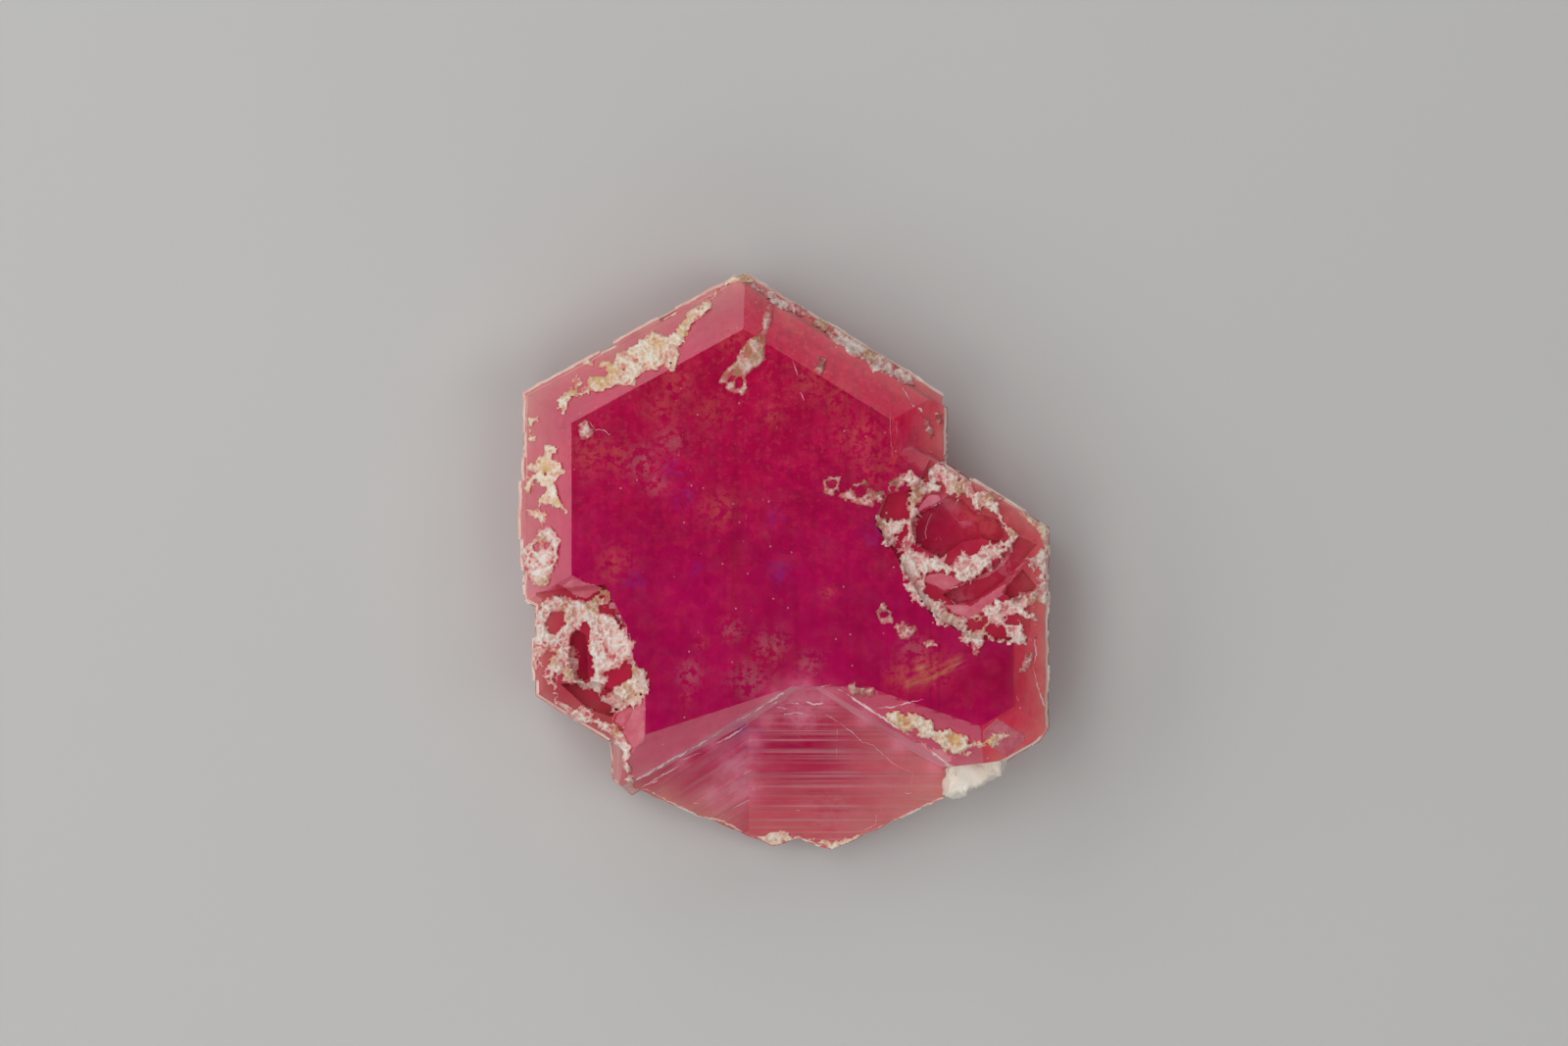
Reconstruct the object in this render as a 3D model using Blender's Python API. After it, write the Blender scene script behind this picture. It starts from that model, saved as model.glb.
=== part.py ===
"""Flat pezzottaite crystal group, lying on its lower basal face with the other one facing up.

The red crystals grew together with parallel axes, so they are one solid: a main plate, a right
plate, a foot plate, a corner plate and a stepped crystal in the notch between them. Patches of
white crust and one chip of white rock are separate pieces, each set off by a small gap.
Lengths are in millimetres until they reach Blender. +Z is up and +Y is the top corner's side.
"""
import math
import random

import bmesh
import bpy
from mathutils import Matrix, Vector, noise
from mathutils.bvhtree import BVHTree
from mathutils.geometry import delaunay_2d_cdt

MM = 0.001
WELD = 0.000001

# Driving dimensions
THICKNESS = 12.0
BEVEL_SLOPE = 30.0
CLIFF_SLOPE = 72.0
FOOT_SLOPE = 50.0
FOOT_INSET = 1.1
RIM_SLOPE = 60.0
RIM_WIDTH = 0.22
SLAB_SINK = 0.07
CRUST_GAP = 0.3
CRUST_SPACING = 0.85
REACH = 60.0

# Plates: each has its axis, its upper bevels as (azimuth, distance at the top face, slope),
# its walls as (azimuth, distance) and its layers as (bottom, top, how far the walls move out)
MAIN_PLATE = {
    "centre": (-4.0, 3.5),
    "bevels": [
        (0.0, 12.79, BEVEL_SLOPE),
        (58.5, 13.6, BEVEL_SLOPE),
        (118.6, 13.3, BEVEL_SLOPE),
        (180.0, 13.35, BEVEL_SLOPE),
        (240.0, 10.6, BEVEL_SLOPE),
    ],
    "walls": [(0.0, 17.42), (58.5, 16.95), (118.6, 17.36), (180.0, 17.36), (240.0, 14.4), (270.0, 13.75)],
    "layers": [(6.0, THICKNESS, -0.1), (4.3, 7.6, 0.0), (2.4, 5.1, -0.2), (0.0, 3.2, -0.55)],
}
MAIN_LEDGE = {
    "centre": (-4.0, 3.5),
    "bevels": [(58.5, 16.6, BEVEL_SLOPE)],
    "walls": [(0.0, 17.0), (58.5, 17.75), (118.6, 17.4), (180.0, 10.0), (240.0, 10.0), (300.0, 10.0)],
    "layers": [(4.2, 9.3, 0.0)],
}
FOOT_PLATE = {
    "centre": (-4.0, -6.0),
    "bevels": [
        (180.0, 7.28, BEVEL_SLOPE),
        (180.0, 8.63, 65.0),
        (230.0, 16.3, 55.0),
        (288.1, 5.39, BEVEL_SLOPE),
        (298.5, 5.82, CLIFF_SLOPE),
    ],
    "walls": [(0.0, 6.0), (90.0, 8.0), (180.0, 10.13), (230.0, 15.6), (301.3, 6.9)],
    "layers": [(5.2, THICKNESS - 0.02, -0.1), (1.9, 6.4, 0.0), (0.03, 2.6, -0.4)],
}
RIGHT_PLATE = {
    "centre": (10.0, -6.0),
    "bevels": [
        (0.0, 8.75, BEVEL_SLOPE),
        (58.2, 12.1, 35.0),
        (300.0, 9.4, BEVEL_SLOPE),
        (250.9, 5.0, BEVEL_SLOPE),
        (241.6, 6.81, CLIFF_SLOPE),
    ],
    "walls": [(0.0, 11.78), (58.2, 13.71), (150.0, 8.0), (180.0, 9.0), (241.6, 8.3), (276.8, 11.26),
              (300.0, 13.1), (328.0, 14.0)],
    "layers": [(6.6, THICKNESS - 0.03, -0.15), (3.0, 7.4, 0.0), (0.02, 3.9, -0.45)],
}
CORNER_PLATE = {
    "centre": (-14.0, -6.0),
    "bevels": [(180.0, 4.6, 40.0), (238.3, 5.7, 40.0)],
    "walls": [(0.0, 6.0), (60.0, 6.0), (120.0, 6.0), (180.0, 6.42), (238.3, 7.66), (300.0, 7.4)],
    "layers": [(5.6, 11.3, -0.12), (2.7, 6.9, 0.0), (0.05, 3.3, -0.6)],
}
PLATES = [MAIN_PLATE, MAIN_LEDGE, FOOT_PLATE, RIGHT_PLATE, CORNER_PLATE]

# Thin growth slabs on the walls, which give the outline its small jogs: the plate they sit on,
# azimuth, wall distance, start and end along the wall, bottom
WALL_SLABS = [
    (MAIN_PLATE, 118.6, 17.62, -12.0, -3.9, 3.4),
    (MAIN_PLATE, 118.6, 17.63, -2.4, 1.8, 4.6),
    (MAIN_PLATE, 118.6, 17.5, 3.2, 12.0, 3.0),
    (MAIN_PLATE, 180.0, 17.52, -5.1, -3.0, 4.0),
    (MAIN_PLATE, 180.0, 17.78, -3.2, 1.6, 5.2),
    (MAIN_PLATE, 180.0, 17.56, 1.5, 4.2, 3.8),
    (CORNER_PLATE, 180.0, 6.62, 0.1, 3.7, 4.4),
    (RIGHT_PLATE, 58.2, 13.8, -3.0, 2.4, 5.0),
]

# Stepped crystal in the notch: its sloping face falls away in steps from the notch
STEP_TOP = 10.2
STEP_START = -10.3
STEP_FACE_SLOPE = 26.0
STEP_RUNS = [0.9, 0.4, 0.7, 0.5, 1.1, 0.4, 0.3, 0.9, 0.6, 0.4, 1.2, 0.5, 0.4, 0.8, 0.3, 0.7, 1.0, 0.5, 0.6, 0.4,
             1.3, 1.6]
STEP_TREAD_SHARE = 0.72
STEP_TREAD_SLOPE = 15.0
STEP_BOTTOM = 0.9
SIDE_FACE_AZIMUTH = 302.8
SIDE_FACE_START = (-2.64, -10.13)
STEPPED_LEFT = {
    "centre": (0.0, 0.0),
    "bevels": [],
    "walls": [(0.0, 13.3), (90.0, -9.0), (180.0, 12.4), (246.6, 21.9), (286.5, 22.27)],
    "layers": [(STEP_BOTTOM, THICKNESS, 0.0)],
}
STEPPED_RIGHT = {
    "centre": (0.0, 0.0),
    "bevels": [],
    "walls": [(0.0, 13.3), (90.0, -9.0), (180.0, 9.0), (251.4, 21.27), (295.6, 23.2)],
    "layers": [(STEP_BOTTOM, THICKNESS, 0.0)],
}

# Etched hollows: outline on the top face, floor height, and how much wider the mouth is
HOLLOWS = [
    ([(12.0, 8.6), (10.8, 5.9), (8.4, 5.4), (7.5, 3.1), (9.2, 0.6), (10.4, -1.5), (12.0, -4.1), (15.2, -6.1),
      (19.8, -6.5), (21.4, -2.1), (21.6, 1.1), (19.2, 4.6), (16.0, 6.9)], 11.15, 1.06),
    ([(11.2, 4.0), (13.0, 5.0), (13.4, 5.4), (14.6, 5.0), (15.5, 4.1), (17.8, 3.3), (18.0, 2.1), (17.5, 1.5),
      (16.1, 2.0), (14.6, 1.7), (12.8, 0.4), (10.8, 1.6), (10.5, 3.6)], 10.0, 1.1),
    ([(13.0, -2.6), (15.4, -1.4), (18.1, 0.6), (19.0, 2.1), (20.6, 1.4), (18.1, -1.4), (15.8, -3.0),
      (14.1, -3.4)], 10.5, 1.12),
    ([(17.9, -2.4), (19.5, -0.6), (20.6, -2.0), (19.1, -3.5)], 10.1, 1.15),
    ([(-14.6, -1.9), (-12.6, -5.6), (-12.4, -7.3), (-11.6, -9.3), (-11.2, -10.6), (-12.4, -12.0), (-14.0, -15.6),
      (-24.0, -12.0), (-24.0, -3.0), (-18.0, -2.2)], 10.3, 1.03),
    ([(-17.3, -5.4), (-16.2, -6.0), (-16.0, -9.5), (-16.9, -9.9), (-17.6, -8.0)], 9.1, 1.15),
    ([(-18.2, -10.0), (-15.4, -9.8), (-14.2, -10.4), (-13.0, -11.6), (-14.2, -12.6), (-16.0, -12.0)], 8.8, 1.1),
]
HOLLOW_MOUTH = 1.6

# White crust patches: outline seen from above and how thick the patch is
CRUSTS = {
    "crust_upper_left": ([(-18.4, 12.5), (-17.6, 14.0), (-15.4, 15.3), (-14.6, 16.6), (-12.8, 17.6), (-11.4, 18.5),
                          (-10.2, 19.1), (-8.8, 19.9), (-7.0, 20.8), (-5.9, 21.3), (-6.2, 20.4), (-7.6, 19.4),
                          (-8.2, 17.7), (-8.8, 16.1), (-9.8, 15.6), (-11.6, 15.0), (-12.8, 14.1), (-14.8, 13.5),
                          (-16.8, 13.4), (-17.8, 12.6)], 0.45),
    "crust_left_upper": ([(-20.7, 8.9), (-19.5, 9.5), (-18.7, 8.3), (-18.9, 7.4), (-18.4, 5.9), (-17.8, 4.2),
                          (-18.7, 3.8), (-20.4, 4.1), (-20.9, 5.5), (-20.5, 6.7), (-20.9, 7.6)], 0.5),
    "crust_left_lower": ([(-20.3, 2.6), (-19.2, 2.7), (-18.5, 1.4), (-18.6, -0.1), (-18.9, -1.1), (-20.1, -1.6),
                          (-20.9, -1.2), (-21.0, 0.1), (-20.8, 1.3)], 0.5),
    "crust_lower_left": ([(-19.7, -2.7), (-18.0, -2.2), (-16.0, -2.5), (-14.5, -2.1), (-13.4, -3.9), (-12.5, -5.8),
                          (-12.2, -7.3), (-11.6, -9.2), (-11.4, -10.5), (-12.1, -11.4), (-13.2, -11.9),
                          (-13.3, -13.5), (-13.1, -15.0), (-13.4, -16.6), (-13.8, -16.0), (-13.9, -14.2),
                          (-15.6, -13.3), (-17.6, -12.1), (-19.1, -11.0), (-20.0, -9.3), (-20.0, -6.9),
                          (-19.9, -5.0)], 0.55),
    "crust_right_outer": ([(12.5, 8.1), (13.2, 7.8), (13.8, 7.1), (15.2, 6.3), (16.2, 5.7), (17.2, 4.9),
                           (18.2, 4.2), (19.6, 3.3), (20.8, 2.4), (20.9, 0.4), (20.7, -2.1), (20.4, -4.5),
                           (20.6, -6.4), (19.6, -6.6), (18.4, -6.1), (19.4, -4.0), (20.0, -2.4), (20.1, 0.2),
                           (19.4, 1.3), (18.6, 1.9), (17.6, 2.6), (17.2, 3.5), (16.2, 4.2), (15.2, 4.7),
                           (14.2, 5.5), (13.2, 6.2), (12.4, 5.9), (11.9, 7.1)], 0.5),
    "crust_right_inner": ([(8.7, 6.7), (10.0, 6.9), (11.2, 6.4), (11.9, 5.5), (11.4, 4.6), (10.6, 4.1),
                           (10.2, 2.7), (10.4, 1.4), (11.6, 0.5), (12.9, 0.1), (14.4, 1.3), (16.0, 1.0),
                           (17.5, 1.2), (17.4, 0.3), (16.0, -0.8), (14.8, -1.3), (12.8, -0.9), (11.8, -1.3),
                           (12.1, -2.5), (13.0, -3.8), (14.8, -4.6), (16.0, -3.9), (17.2, -3.1), (17.6, -4.2),
                           (17.7, -6.0), (16.0, -6.9), (14.8, -5.9), (12.9, -4.9), (11.6, -3.9), (10.8, -2.1),
                           (9.8, -0.4), (8.7, 1.1), (8.0, 2.3), (7.5, 2.9), (8.2, 3.7), (9.4, 3.5),
                           (9.8, 4.7), (9.9, 5.7), (8.8, 6.0)], 0.5),
    "crust_lower_right": ([(8.4, -12.3), (9.2, -12.1), (10.4, -12.6), (11.6, -13.1), (12.5, -13.9), (13.5, -13.8),
                           (14.8, -13.9), (15.4, -14.6), (16.2, -14.2), (17.7, -13.9), (17.2, -14.9),
                           (16.0, -15.5), (14.8, -15.9), (13.7, -15.5), (12.9, -14.9), (11.6, -14.4),
                           (10.0, -13.6), (8.9, -13.1)], 0.4),
    "crust_upper_right": ([(-1.6, 22.0), (0.0, 21.2), (4.0, 18.9), (8.0, 16.5), (11.4, 14.2), (12.4, 13.4),
                           (12.2, 12.8), (11.2, 13.3), (10.0, 13.9), (8.4, 14.9), (6.8, 16.0), (5.4, 16.9),
                           (3.6, 17.9), (1.6, 19.2), (0.0, 20.2), (-1.3, 21.1)], 0.4),
    "crust_cap": ([(-4.5, 22.35), (-3.8, 22.8), (-3.15, 23.1), (-2.35, 22.7), (-1.95, 22.25), (-2.5, 21.75),
                   (-3.6, 21.7)], 0.5),
    "crust_vein": ([(-2.0, 20.7), (-1.3, 20.3), (-1.2, 19.4), (-1.4, 18.6), (-1.6, 17.5), (-2.2, 16.5),
                    (-2.8, 15.5), (-3.1, 13.9), (-4.0, 13.7), (-4.8, 14.5), (-5.0, 15.1), (-4.2, 15.6),
                    (-3.4, 16.4), (-2.6, 17.3), (-2.2, 18.5), (-2.1, 19.6)], 0.35),
}

# Chip of white rock held under the lower right edge: broken faces, none of them level
CHIP = {
    "centre": (15.9, -18.0),
    "bevels": [
        (20.0, 1.1, 48.0),
        (75.0, 0.5, 24.0),
        (150.0, 1.2, 38.0),
        (215.0, 1.4, 52.0),
        (285.0, 0.45, 57.0),
        (320.0, 0.8, 61.0),
    ],
    "walls": [(11.0, 2.0), (96.8, 0.87), (180.0, 2.22), (225.0, 1.9), (298.5, 0.62), (250.0, 1.35)],
    "layers": [(4.4, 7.6, -0.12), (2.5, 5.0, 0.0)],
}


def remove_old_objects():
    for item in list(bpy.data.objects):
        bpy.data.objects.remove(item, do_unlink=True)


def new_collection(name, hidden):
    collection = bpy.data.collections.new(name)
    bpy.context.scene.collection.children.link(collection)
    collection.hide_render = hidden
    return collection


def make_material(name, colour, roughness):
    material = bpy.data.materials.new(name)
    material.use_nodes = True
    shader = material.node_tree.nodes["Principled BSDF"]
    shader.inputs["Base Color"].default_value = (*colour, 1.0)
    shader.inputs["Roughness"].default_value = roughness
    shader.inputs["Metallic"].default_value = 0.0
    return material


def mesh_object(name, mesh_data, collection):
    mesh = bpy.data.meshes.new(name)
    mesh_data.to_mesh(mesh)
    mesh_data.free()
    result = bpy.data.objects.new(name, mesh)
    collection.objects.link(result)
    return result


def unit_vector(azimuth, slope=90.0):
    """Outward direction of a face that stands at this slope and looks this way."""
    turn = math.radians(azimuth)
    lean = math.radians(slope)
    return Vector((math.sin(lean) * math.cos(turn), math.sin(lean) * math.sin(turn), math.cos(lean)))


def point_at(centre, azimuth, distance, level):
    turn = math.radians(azimuth)
    across = centre[0] + distance * math.cos(turn)
    along = centre[1] + distance * math.sin(turn)
    return Vector((across, along, level)) * MM


def cut_away(mesh_data, point, normal):
    """Keeps what lies behind the plane and closes the cut with one face."""
    everything = mesh_data.verts[:] + mesh_data.edges[:] + mesh_data.faces[:]
    result = bmesh.ops.bisect_plane(mesh_data, geom=everything, dist=WELD / 10, plane_co=point, plane_no=normal,
                                    clear_outer=True)
    rim = [item for item in result["geom_cut"] if isinstance(item, bmesh.types.BMEdge)]
    if rim:
        bmesh.ops.contextual_create(mesh_data, geom=rim)


def rim_bevels(plate, growth):
    """Narrow steep bevels that break the edge where each bevel meets the wall below it."""
    found = []
    for azimuth, distance, slope in plate["bevels"]:
        for wall_azimuth, wall in plate["walls"]:
            if wall_azimuth == azimuth and slope < RIM_SLOPE:
                edge = wall + growth - RIM_WIDTH
                drop = (edge - distance) * math.tan(math.radians(slope))
                found.append((azimuth, edge - drop / math.tan(math.radians(RIM_SLOPE)), RIM_SLOPE))
    return found


def wall_slab(plate, azimuth, distance, start, end, bottom):
    """A slab on one wall of a plate, between two places along it, under the plate's own bevels."""
    neighbours = [(turn, wall + SLAB_SINK / 2) for turn, wall in plate["walls"] if turn != azimuth]
    return {
        "centre": plate["centre"],
        "bevels": [(turn, reach - SLAB_SINK, slope) for turn, reach, slope in plate["bevels"]],
        "walls": neighbours + [(azimuth, distance), (azimuth + 90.0, end), (azimuth - 90.0, -start),
                               (azimuth + 180.0, 3.0 - distance)],
        "layers": [(bottom, plate["layers"][0][1], 0.0)],
    }


def layer_block(plate, bottom, top, growth, collection):
    """One growth layer of a plate: a block cut by its walls, bevels and foot chamfers."""
    mesh_data = bmesh.new()
    bmesh.ops.create_cube(mesh_data, size=1.0)
    bmesh.ops.scale(mesh_data, verts=mesh_data.verts, vec=(REACH * MM, REACH * MM, (top - bottom) * MM))
    middle = Vector((plate["centre"][0], plate["centre"][1], (top + bottom) / 2)) * MM
    bmesh.ops.translate(mesh_data, verts=mesh_data.verts, vec=middle)
    for azimuth, distance in plate["walls"]:
        point = point_at(plate["centre"], azimuth, distance + growth, 0.0)
        cut_away(mesh_data, point, unit_vector(azimuth))
        foot = point_at(plate["centre"], azimuth, distance - FOOT_INSET, 0.0)
        cut_away(mesh_data, foot, unit_vector(azimuth, 180.0 - FOOT_SLOPE))
    crest = plate["layers"][0][1]
    for azimuth, distance, slope in plate["bevels"] + rim_bevels(plate, growth):
        cut_away(mesh_data, point_at(plate["centre"], azimuth, distance, crest), unit_vector(azimuth, slope))
    bmesh.ops.recalc_face_normals(mesh_data, faces=mesh_data.faces)
    return mesh_object("layer", mesh_data, collection)


def outline_prism(name, outline, depth, collection):
    """A flat outline, filled and extruded both ways along Z."""
    curve = bpy.data.curves.new(name, "CURVE")
    curve.dimensions = "2D"
    curve.fill_mode = "BOTH"
    curve.extrude = depth * MM / 2
    spline = curve.splines.new("POLY")
    spline.points.add(len(outline) - 1)
    for point, corner in zip(spline.points, outline):
        point.co = (corner[0] * MM, corner[1] * MM, 0.0, 1.0)
    spline.use_cyclic_u = True
    holder = bpy.data.objects.new(name, curve)
    mesh_data = bmesh.new()
    mesh_data.from_mesh(holder.to_mesh())
    bpy.data.objects.remove(holder, do_unlink=True)
    bmesh.ops.remove_doubles(mesh_data, verts=mesh_data.verts, dist=WELD)
    bmesh.ops.recalc_face_normals(mesh_data, faces=mesh_data.faces)
    return mesh_object(name, mesh_data, collection)


def step_profile():
    """Downhill distance and height along the stepped face, closed under its bottom."""
    corners = [(-3.0, STEP_BOTTOM), (-3.0, STEP_TOP), (0.0, STEP_TOP)]
    distance = 0.0
    height = STEP_TOP
    for run in STEP_RUNS:
        tread = run * STEP_TREAD_SHARE
        drop = run * math.tan(math.radians(STEP_FACE_SLOPE))
        tread_drop = tread * math.tan(math.radians(STEP_TREAD_SLOPE))
        corners.append((distance + tread, height - tread_drop))
        distance += run
        height -= drop
        corners.append((distance, height))
    corners.append((distance + 2.0, height - 1.0))
    corners.append((distance + 2.0, STEP_BOTTOM))
    return corners


def stepped_wedge(name, azimuth, start, stretch, collection):
    """The step profile swept level, falling away towards the azimuth from the start point."""
    wedge = outline_prism(name, [(reach * stretch, height) for reach, height in step_profile()], REACH, collection)
    upright = Matrix.Rotation(math.radians(90.0), 4, "X")
    turn = Matrix.Rotation(math.radians(azimuth), 4, "Z")
    place = Matrix.Translation(Vector((start[0], start[1], 0.0)) * MM)
    wedge.data.transform(place @ turn @ upright)
    return wedge


def combine(target, other, operation):
    """Joins, cuts or intersects the target with the other solid, which is then removed."""
    modifier = target.modifiers.new(operation.lower(), "BOOLEAN")
    modifier.operation = operation
    modifier.solver = "EXACT"
    modifier.object = other
    graph = bpy.context.evaluated_depsgraph_get()
    graph.update()
    result = bpy.data.meshes.new_from_object(target.evaluated_get(graph))
    target.modifiers.clear()
    joined = bmesh.new()
    joined.from_mesh(result)
    bmesh.ops.remove_doubles(joined, verts=joined.verts, dist=WELD)
    joined.to_mesh(target.data)
    joined.free()
    bpy.data.meshes.remove(result)
    bpy.data.objects.remove(other, do_unlink=True)


def grow_plate(plate, collection):
    blocks = [layer_block(plate, bottom, top, growth, collection) for bottom, top, growth in plate["layers"]]
    for block in blocks[1:]:
        combine(blocks[0], block, "UNION")
    return blocks[0]


def grow_stepped_crystal(collection):
    """Two stepped faces that meet in a crease, trimmed to the outline of the notch crystal."""
    front = stepped_wedge("front_steps", 270.0, (0.0, STEP_START), 1.0, collection)
    side_direction = unit_vector(SIDE_FACE_AZIMUTH)
    side_stretch = -side_direction.y
    side = stepped_wedge("side_steps", SIDE_FACE_AZIMUTH, SIDE_FACE_START, side_stretch, collection)
    combine(front, side, "UNION")
    outline = grow_plate(STEPPED_LEFT, collection)
    combine(outline, grow_plate(STEPPED_RIGHT, collection), "UNION")
    combine(front, outline, "INTERSECT")
    return front


def hollow_cutter(outline, floor, widening, collection):
    """A shaft above the floor whose mouth is wider than its floor, so its walls lean."""
    depth = THICKNESS + HOLLOW_MOUTH - floor
    cutter = outline_prism("hollow", outline, depth, collection)
    centre_x = sum(corner[0] for corner in outline) / len(outline) * MM
    centre_y = sum(corner[1] for corner in outline) / len(outline) * MM
    for vertex in cutter.data.vertices:
        if vertex.co.z > 0.0:
            vertex.co.x = centre_x + (vertex.co.x - centre_x) * widening
            vertex.co.y = centre_y + (vertex.co.y - centre_y) * widening
        vertex.co.z += (floor + depth / 2) * MM
    return cutter


def tidy_mesh(target):
    """Merges the points that the cuts left on top of each other and drops needless edges."""
    mesh_data = bmesh.new()
    mesh_data.from_mesh(target.data)
    bmesh.ops.remove_doubles(mesh_data, verts=mesh_data.verts, dist=WELD)
    bmesh.ops.dissolve_limit(mesh_data, angle_limit=math.radians(0.05), verts=mesh_data.verts,
                             edges=mesh_data.edges)
    bmesh.ops.triangulate(mesh_data, faces=mesh_data.faces)
    bmesh.ops.recalc_face_normals(mesh_data, faces=mesh_data.faces)
    mesh_data.to_mesh(target.data)
    mesh_data.free()


def build_crystal(material, shown, cutters):
    crystal = grow_plate(PLATES[0], cutters)
    slabs = [wall_slab(*measures) for measures in WALL_SLABS]
    for plate in PLATES[1:] + slabs:
        combine(crystal, grow_plate(plate, cutters), "UNION")
    combine(crystal, grow_stepped_crystal(cutters), "UNION")
    for outline, floor, widening in HOLLOWS:
        combine(crystal, hollow_cutter(outline, floor, widening, cutters), "DIFFERENCE")
    tidy_mesh(crystal)
    crystal.name = "pezzottaite_crystal"
    crystal.data.materials.clear()
    crystal.data.materials.append(material)
    cutters.objects.unlink(crystal)
    shown.objects.link(crystal)
    return crystal


def ground_height(tree, across, along):
    """Height of the crystal under this spot, or None beside it."""
    above = Vector((across * MM, along * MM, (THICKNESS + 5.0) * MM))
    hit = tree.ray_cast(above, Vector((0.0, 0.0, -1.0)))[0]
    return None if hit is None else hit.z / MM


def heights_around(tree, across, along):
    """Heights of the crystal at the spot and around it."""
    reach = CRUST_SPACING / 2
    found = []
    for step_x in (-reach, 0.0, reach):
        for step_y in (-reach, 0.0, reach):
            height = ground_height(tree, across + step_x, along + step_y)
            if height is not None:
                found.append(height)
    return found


def inside_outline(outline, across, along):
    inside = False
    for index, corner in enumerate(outline):
        before = outline[index - 1]
        if (corner[1] > along) != (before[1] > along):
            crossing = before[0] + (along - before[1]) / (corner[1] - before[1]) * (corner[0] - before[0])
            if across < crossing:
                inside = not inside
    return inside


def distance_to_outline(outline, across, along):
    spot = Vector((across, along))
    nearest = REACH
    for index, corner in enumerate(outline):
        start = Vector(outline[index - 1])
        run = Vector(corner) - start
        share = max(0.0, min(1.0, (spot - start).dot(run) / run.length_squared))
        nearest = min(nearest, (spot - start - run * share).length)
    return nearest


def net_points(outline, generator):
    """The outline's corners, then jittered points on a triangular net inside it."""
    points = [Vector(corner) for corner in outline]
    low_x = min(corner[0] for corner in outline)
    low_y = min(corner[1] for corner in outline)
    columns = int((max(corner[0] for corner in outline) - low_x) / CRUST_SPACING) + 2
    rows = int((max(corner[1] for corner in outline) - low_y) / CRUST_SPACING) + 2
    for row in range(rows):
        for column in range(columns):
            shift = 0.5 * (row % 2)
            across = low_x + (column + shift + generator.uniform(-0.2, 0.2)) * CRUST_SPACING
            along = low_y + (row + generator.uniform(-0.2, 0.2)) * CRUST_SPACING
            if inside_outline(outline, across, along):
                if distance_to_outline(outline, across, along) > CRUST_SPACING * 0.35:
                    points.append(Vector((across, along)))
    return points


def build_crust(name, outline, thickness, crystal, material, shown, cutters):
    """A lumpy patch that follows the crystal, its underside one gap above the crystal."""
    tree = BVHTree.FromObject(crystal, bpy.context.evaluated_depsgraph_get())
    generator = random.Random(len(outline))
    points = net_points(outline, generator)
    corners = list(range(len(outline)))
    net = delaunay_2d_cdt(points, [], [corners], 1, WELD)
    mesh_data = bmesh.new()
    floors = []
    for spot in net[0]:
        heights = heights_around(tree, spot.x, spot.y)
        near_edge = distance_to_outline(outline, spot.x, spot.y) < CRUST_SPACING * 0.3
        lump = 0.5 + 0.5 * noise.noise(Vector((spot.x * 0.9, spot.y * 0.9, thickness)))
        rise = thickness * (0.6 if near_edge else 0.9 + 0.6 * lump)
        mesh_data.verts.new(Vector((spot.x, spot.y, max(heights) + CRUST_GAP + rise)) * MM)
        floors.append((min(heights) - 1.0) * MM)
    mesh_data.verts.ensure_lookup_table()
    for corner_list in net[2]:
        mesh_data.faces.new([mesh_data.verts[index] for index in corner_list])
    count = len(mesh_data.verts)
    lowered = bmesh.ops.extrude_face_region(mesh_data, geom=mesh_data.faces[:])["geom"]
    lowered_points = [item for item in lowered if isinstance(item, bmesh.types.BMVert)]
    upper = {(round(vertex.co.x, 7), round(vertex.co.y, 7)): floors[index]
             for index, vertex in enumerate(mesh_data.verts[:count])}
    for vertex in lowered_points:
        vertex.co.z = upper[(round(vertex.co.x, 7), round(vertex.co.y, 7))]
    bmesh.ops.recalc_face_normals(mesh_data, faces=mesh_data.faces)
    patch = mesh_object(name, mesh_data, shown)
    raised = bpy.data.objects.new("raised", crystal.data.copy())
    raised.data.transform(Matrix.Translation(Vector((0.0, 0.0, CRUST_GAP * MM))))
    cutters.objects.link(raised)
    combine(patch, raised, "DIFFERENCE")
    tidy_mesh(patch)
    patch.data.materials.clear()
    patch.data.materials.append(material)
    return patch


def build_chip(material, shown, cutters):
    chip = grow_plate(CHIP, cutters)
    tidy_mesh(chip)
    chip.name = "matrix_chip"
    chip.data.materials.clear()
    chip.data.materials.append(material)
    cutters.objects.unlink(chip)
    shown.objects.link(chip)
    return chip


def build_all():
    remove_old_objects()
    shown = new_collection("pezzottaite", False)
    cutters = new_collection("cutters", True)
    crystal_material = make_material("pezzottaite_red", (0.38, 0.01, 0.07), 0.12)
    crust_material = make_material("crust_white", (0.75, 0.62, 0.5), 0.85)
    chip_material = make_material("matrix_white", (0.8, 0.76, 0.7), 0.8)
    crystal = build_crystal(crystal_material, shown, cutters)
    for name, (outline, thickness) in CRUSTS.items():
        build_crust(name, outline, thickness, crystal, crust_material, shown, cutters)
    build_chip(chip_material, shown, cutters)


build_all()
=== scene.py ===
import itertools
import math
import random

import bmesh
import bpy
import numpy as np
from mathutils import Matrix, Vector
from mathutils.bvhtree import BVHTree


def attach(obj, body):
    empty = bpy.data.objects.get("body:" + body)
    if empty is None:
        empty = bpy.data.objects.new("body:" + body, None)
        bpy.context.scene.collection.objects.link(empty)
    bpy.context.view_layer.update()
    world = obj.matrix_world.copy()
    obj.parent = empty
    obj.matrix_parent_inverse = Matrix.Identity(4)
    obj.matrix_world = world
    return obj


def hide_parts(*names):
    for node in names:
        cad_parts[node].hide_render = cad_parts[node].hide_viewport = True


# Looks of a flat pezzottaite crystal group that lies on its back, seen from straight above.
# Lengths are in millimetres until they reach Blender. +Y is the top of the picture.

MM = 0.001
WELD = 0.000002

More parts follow.
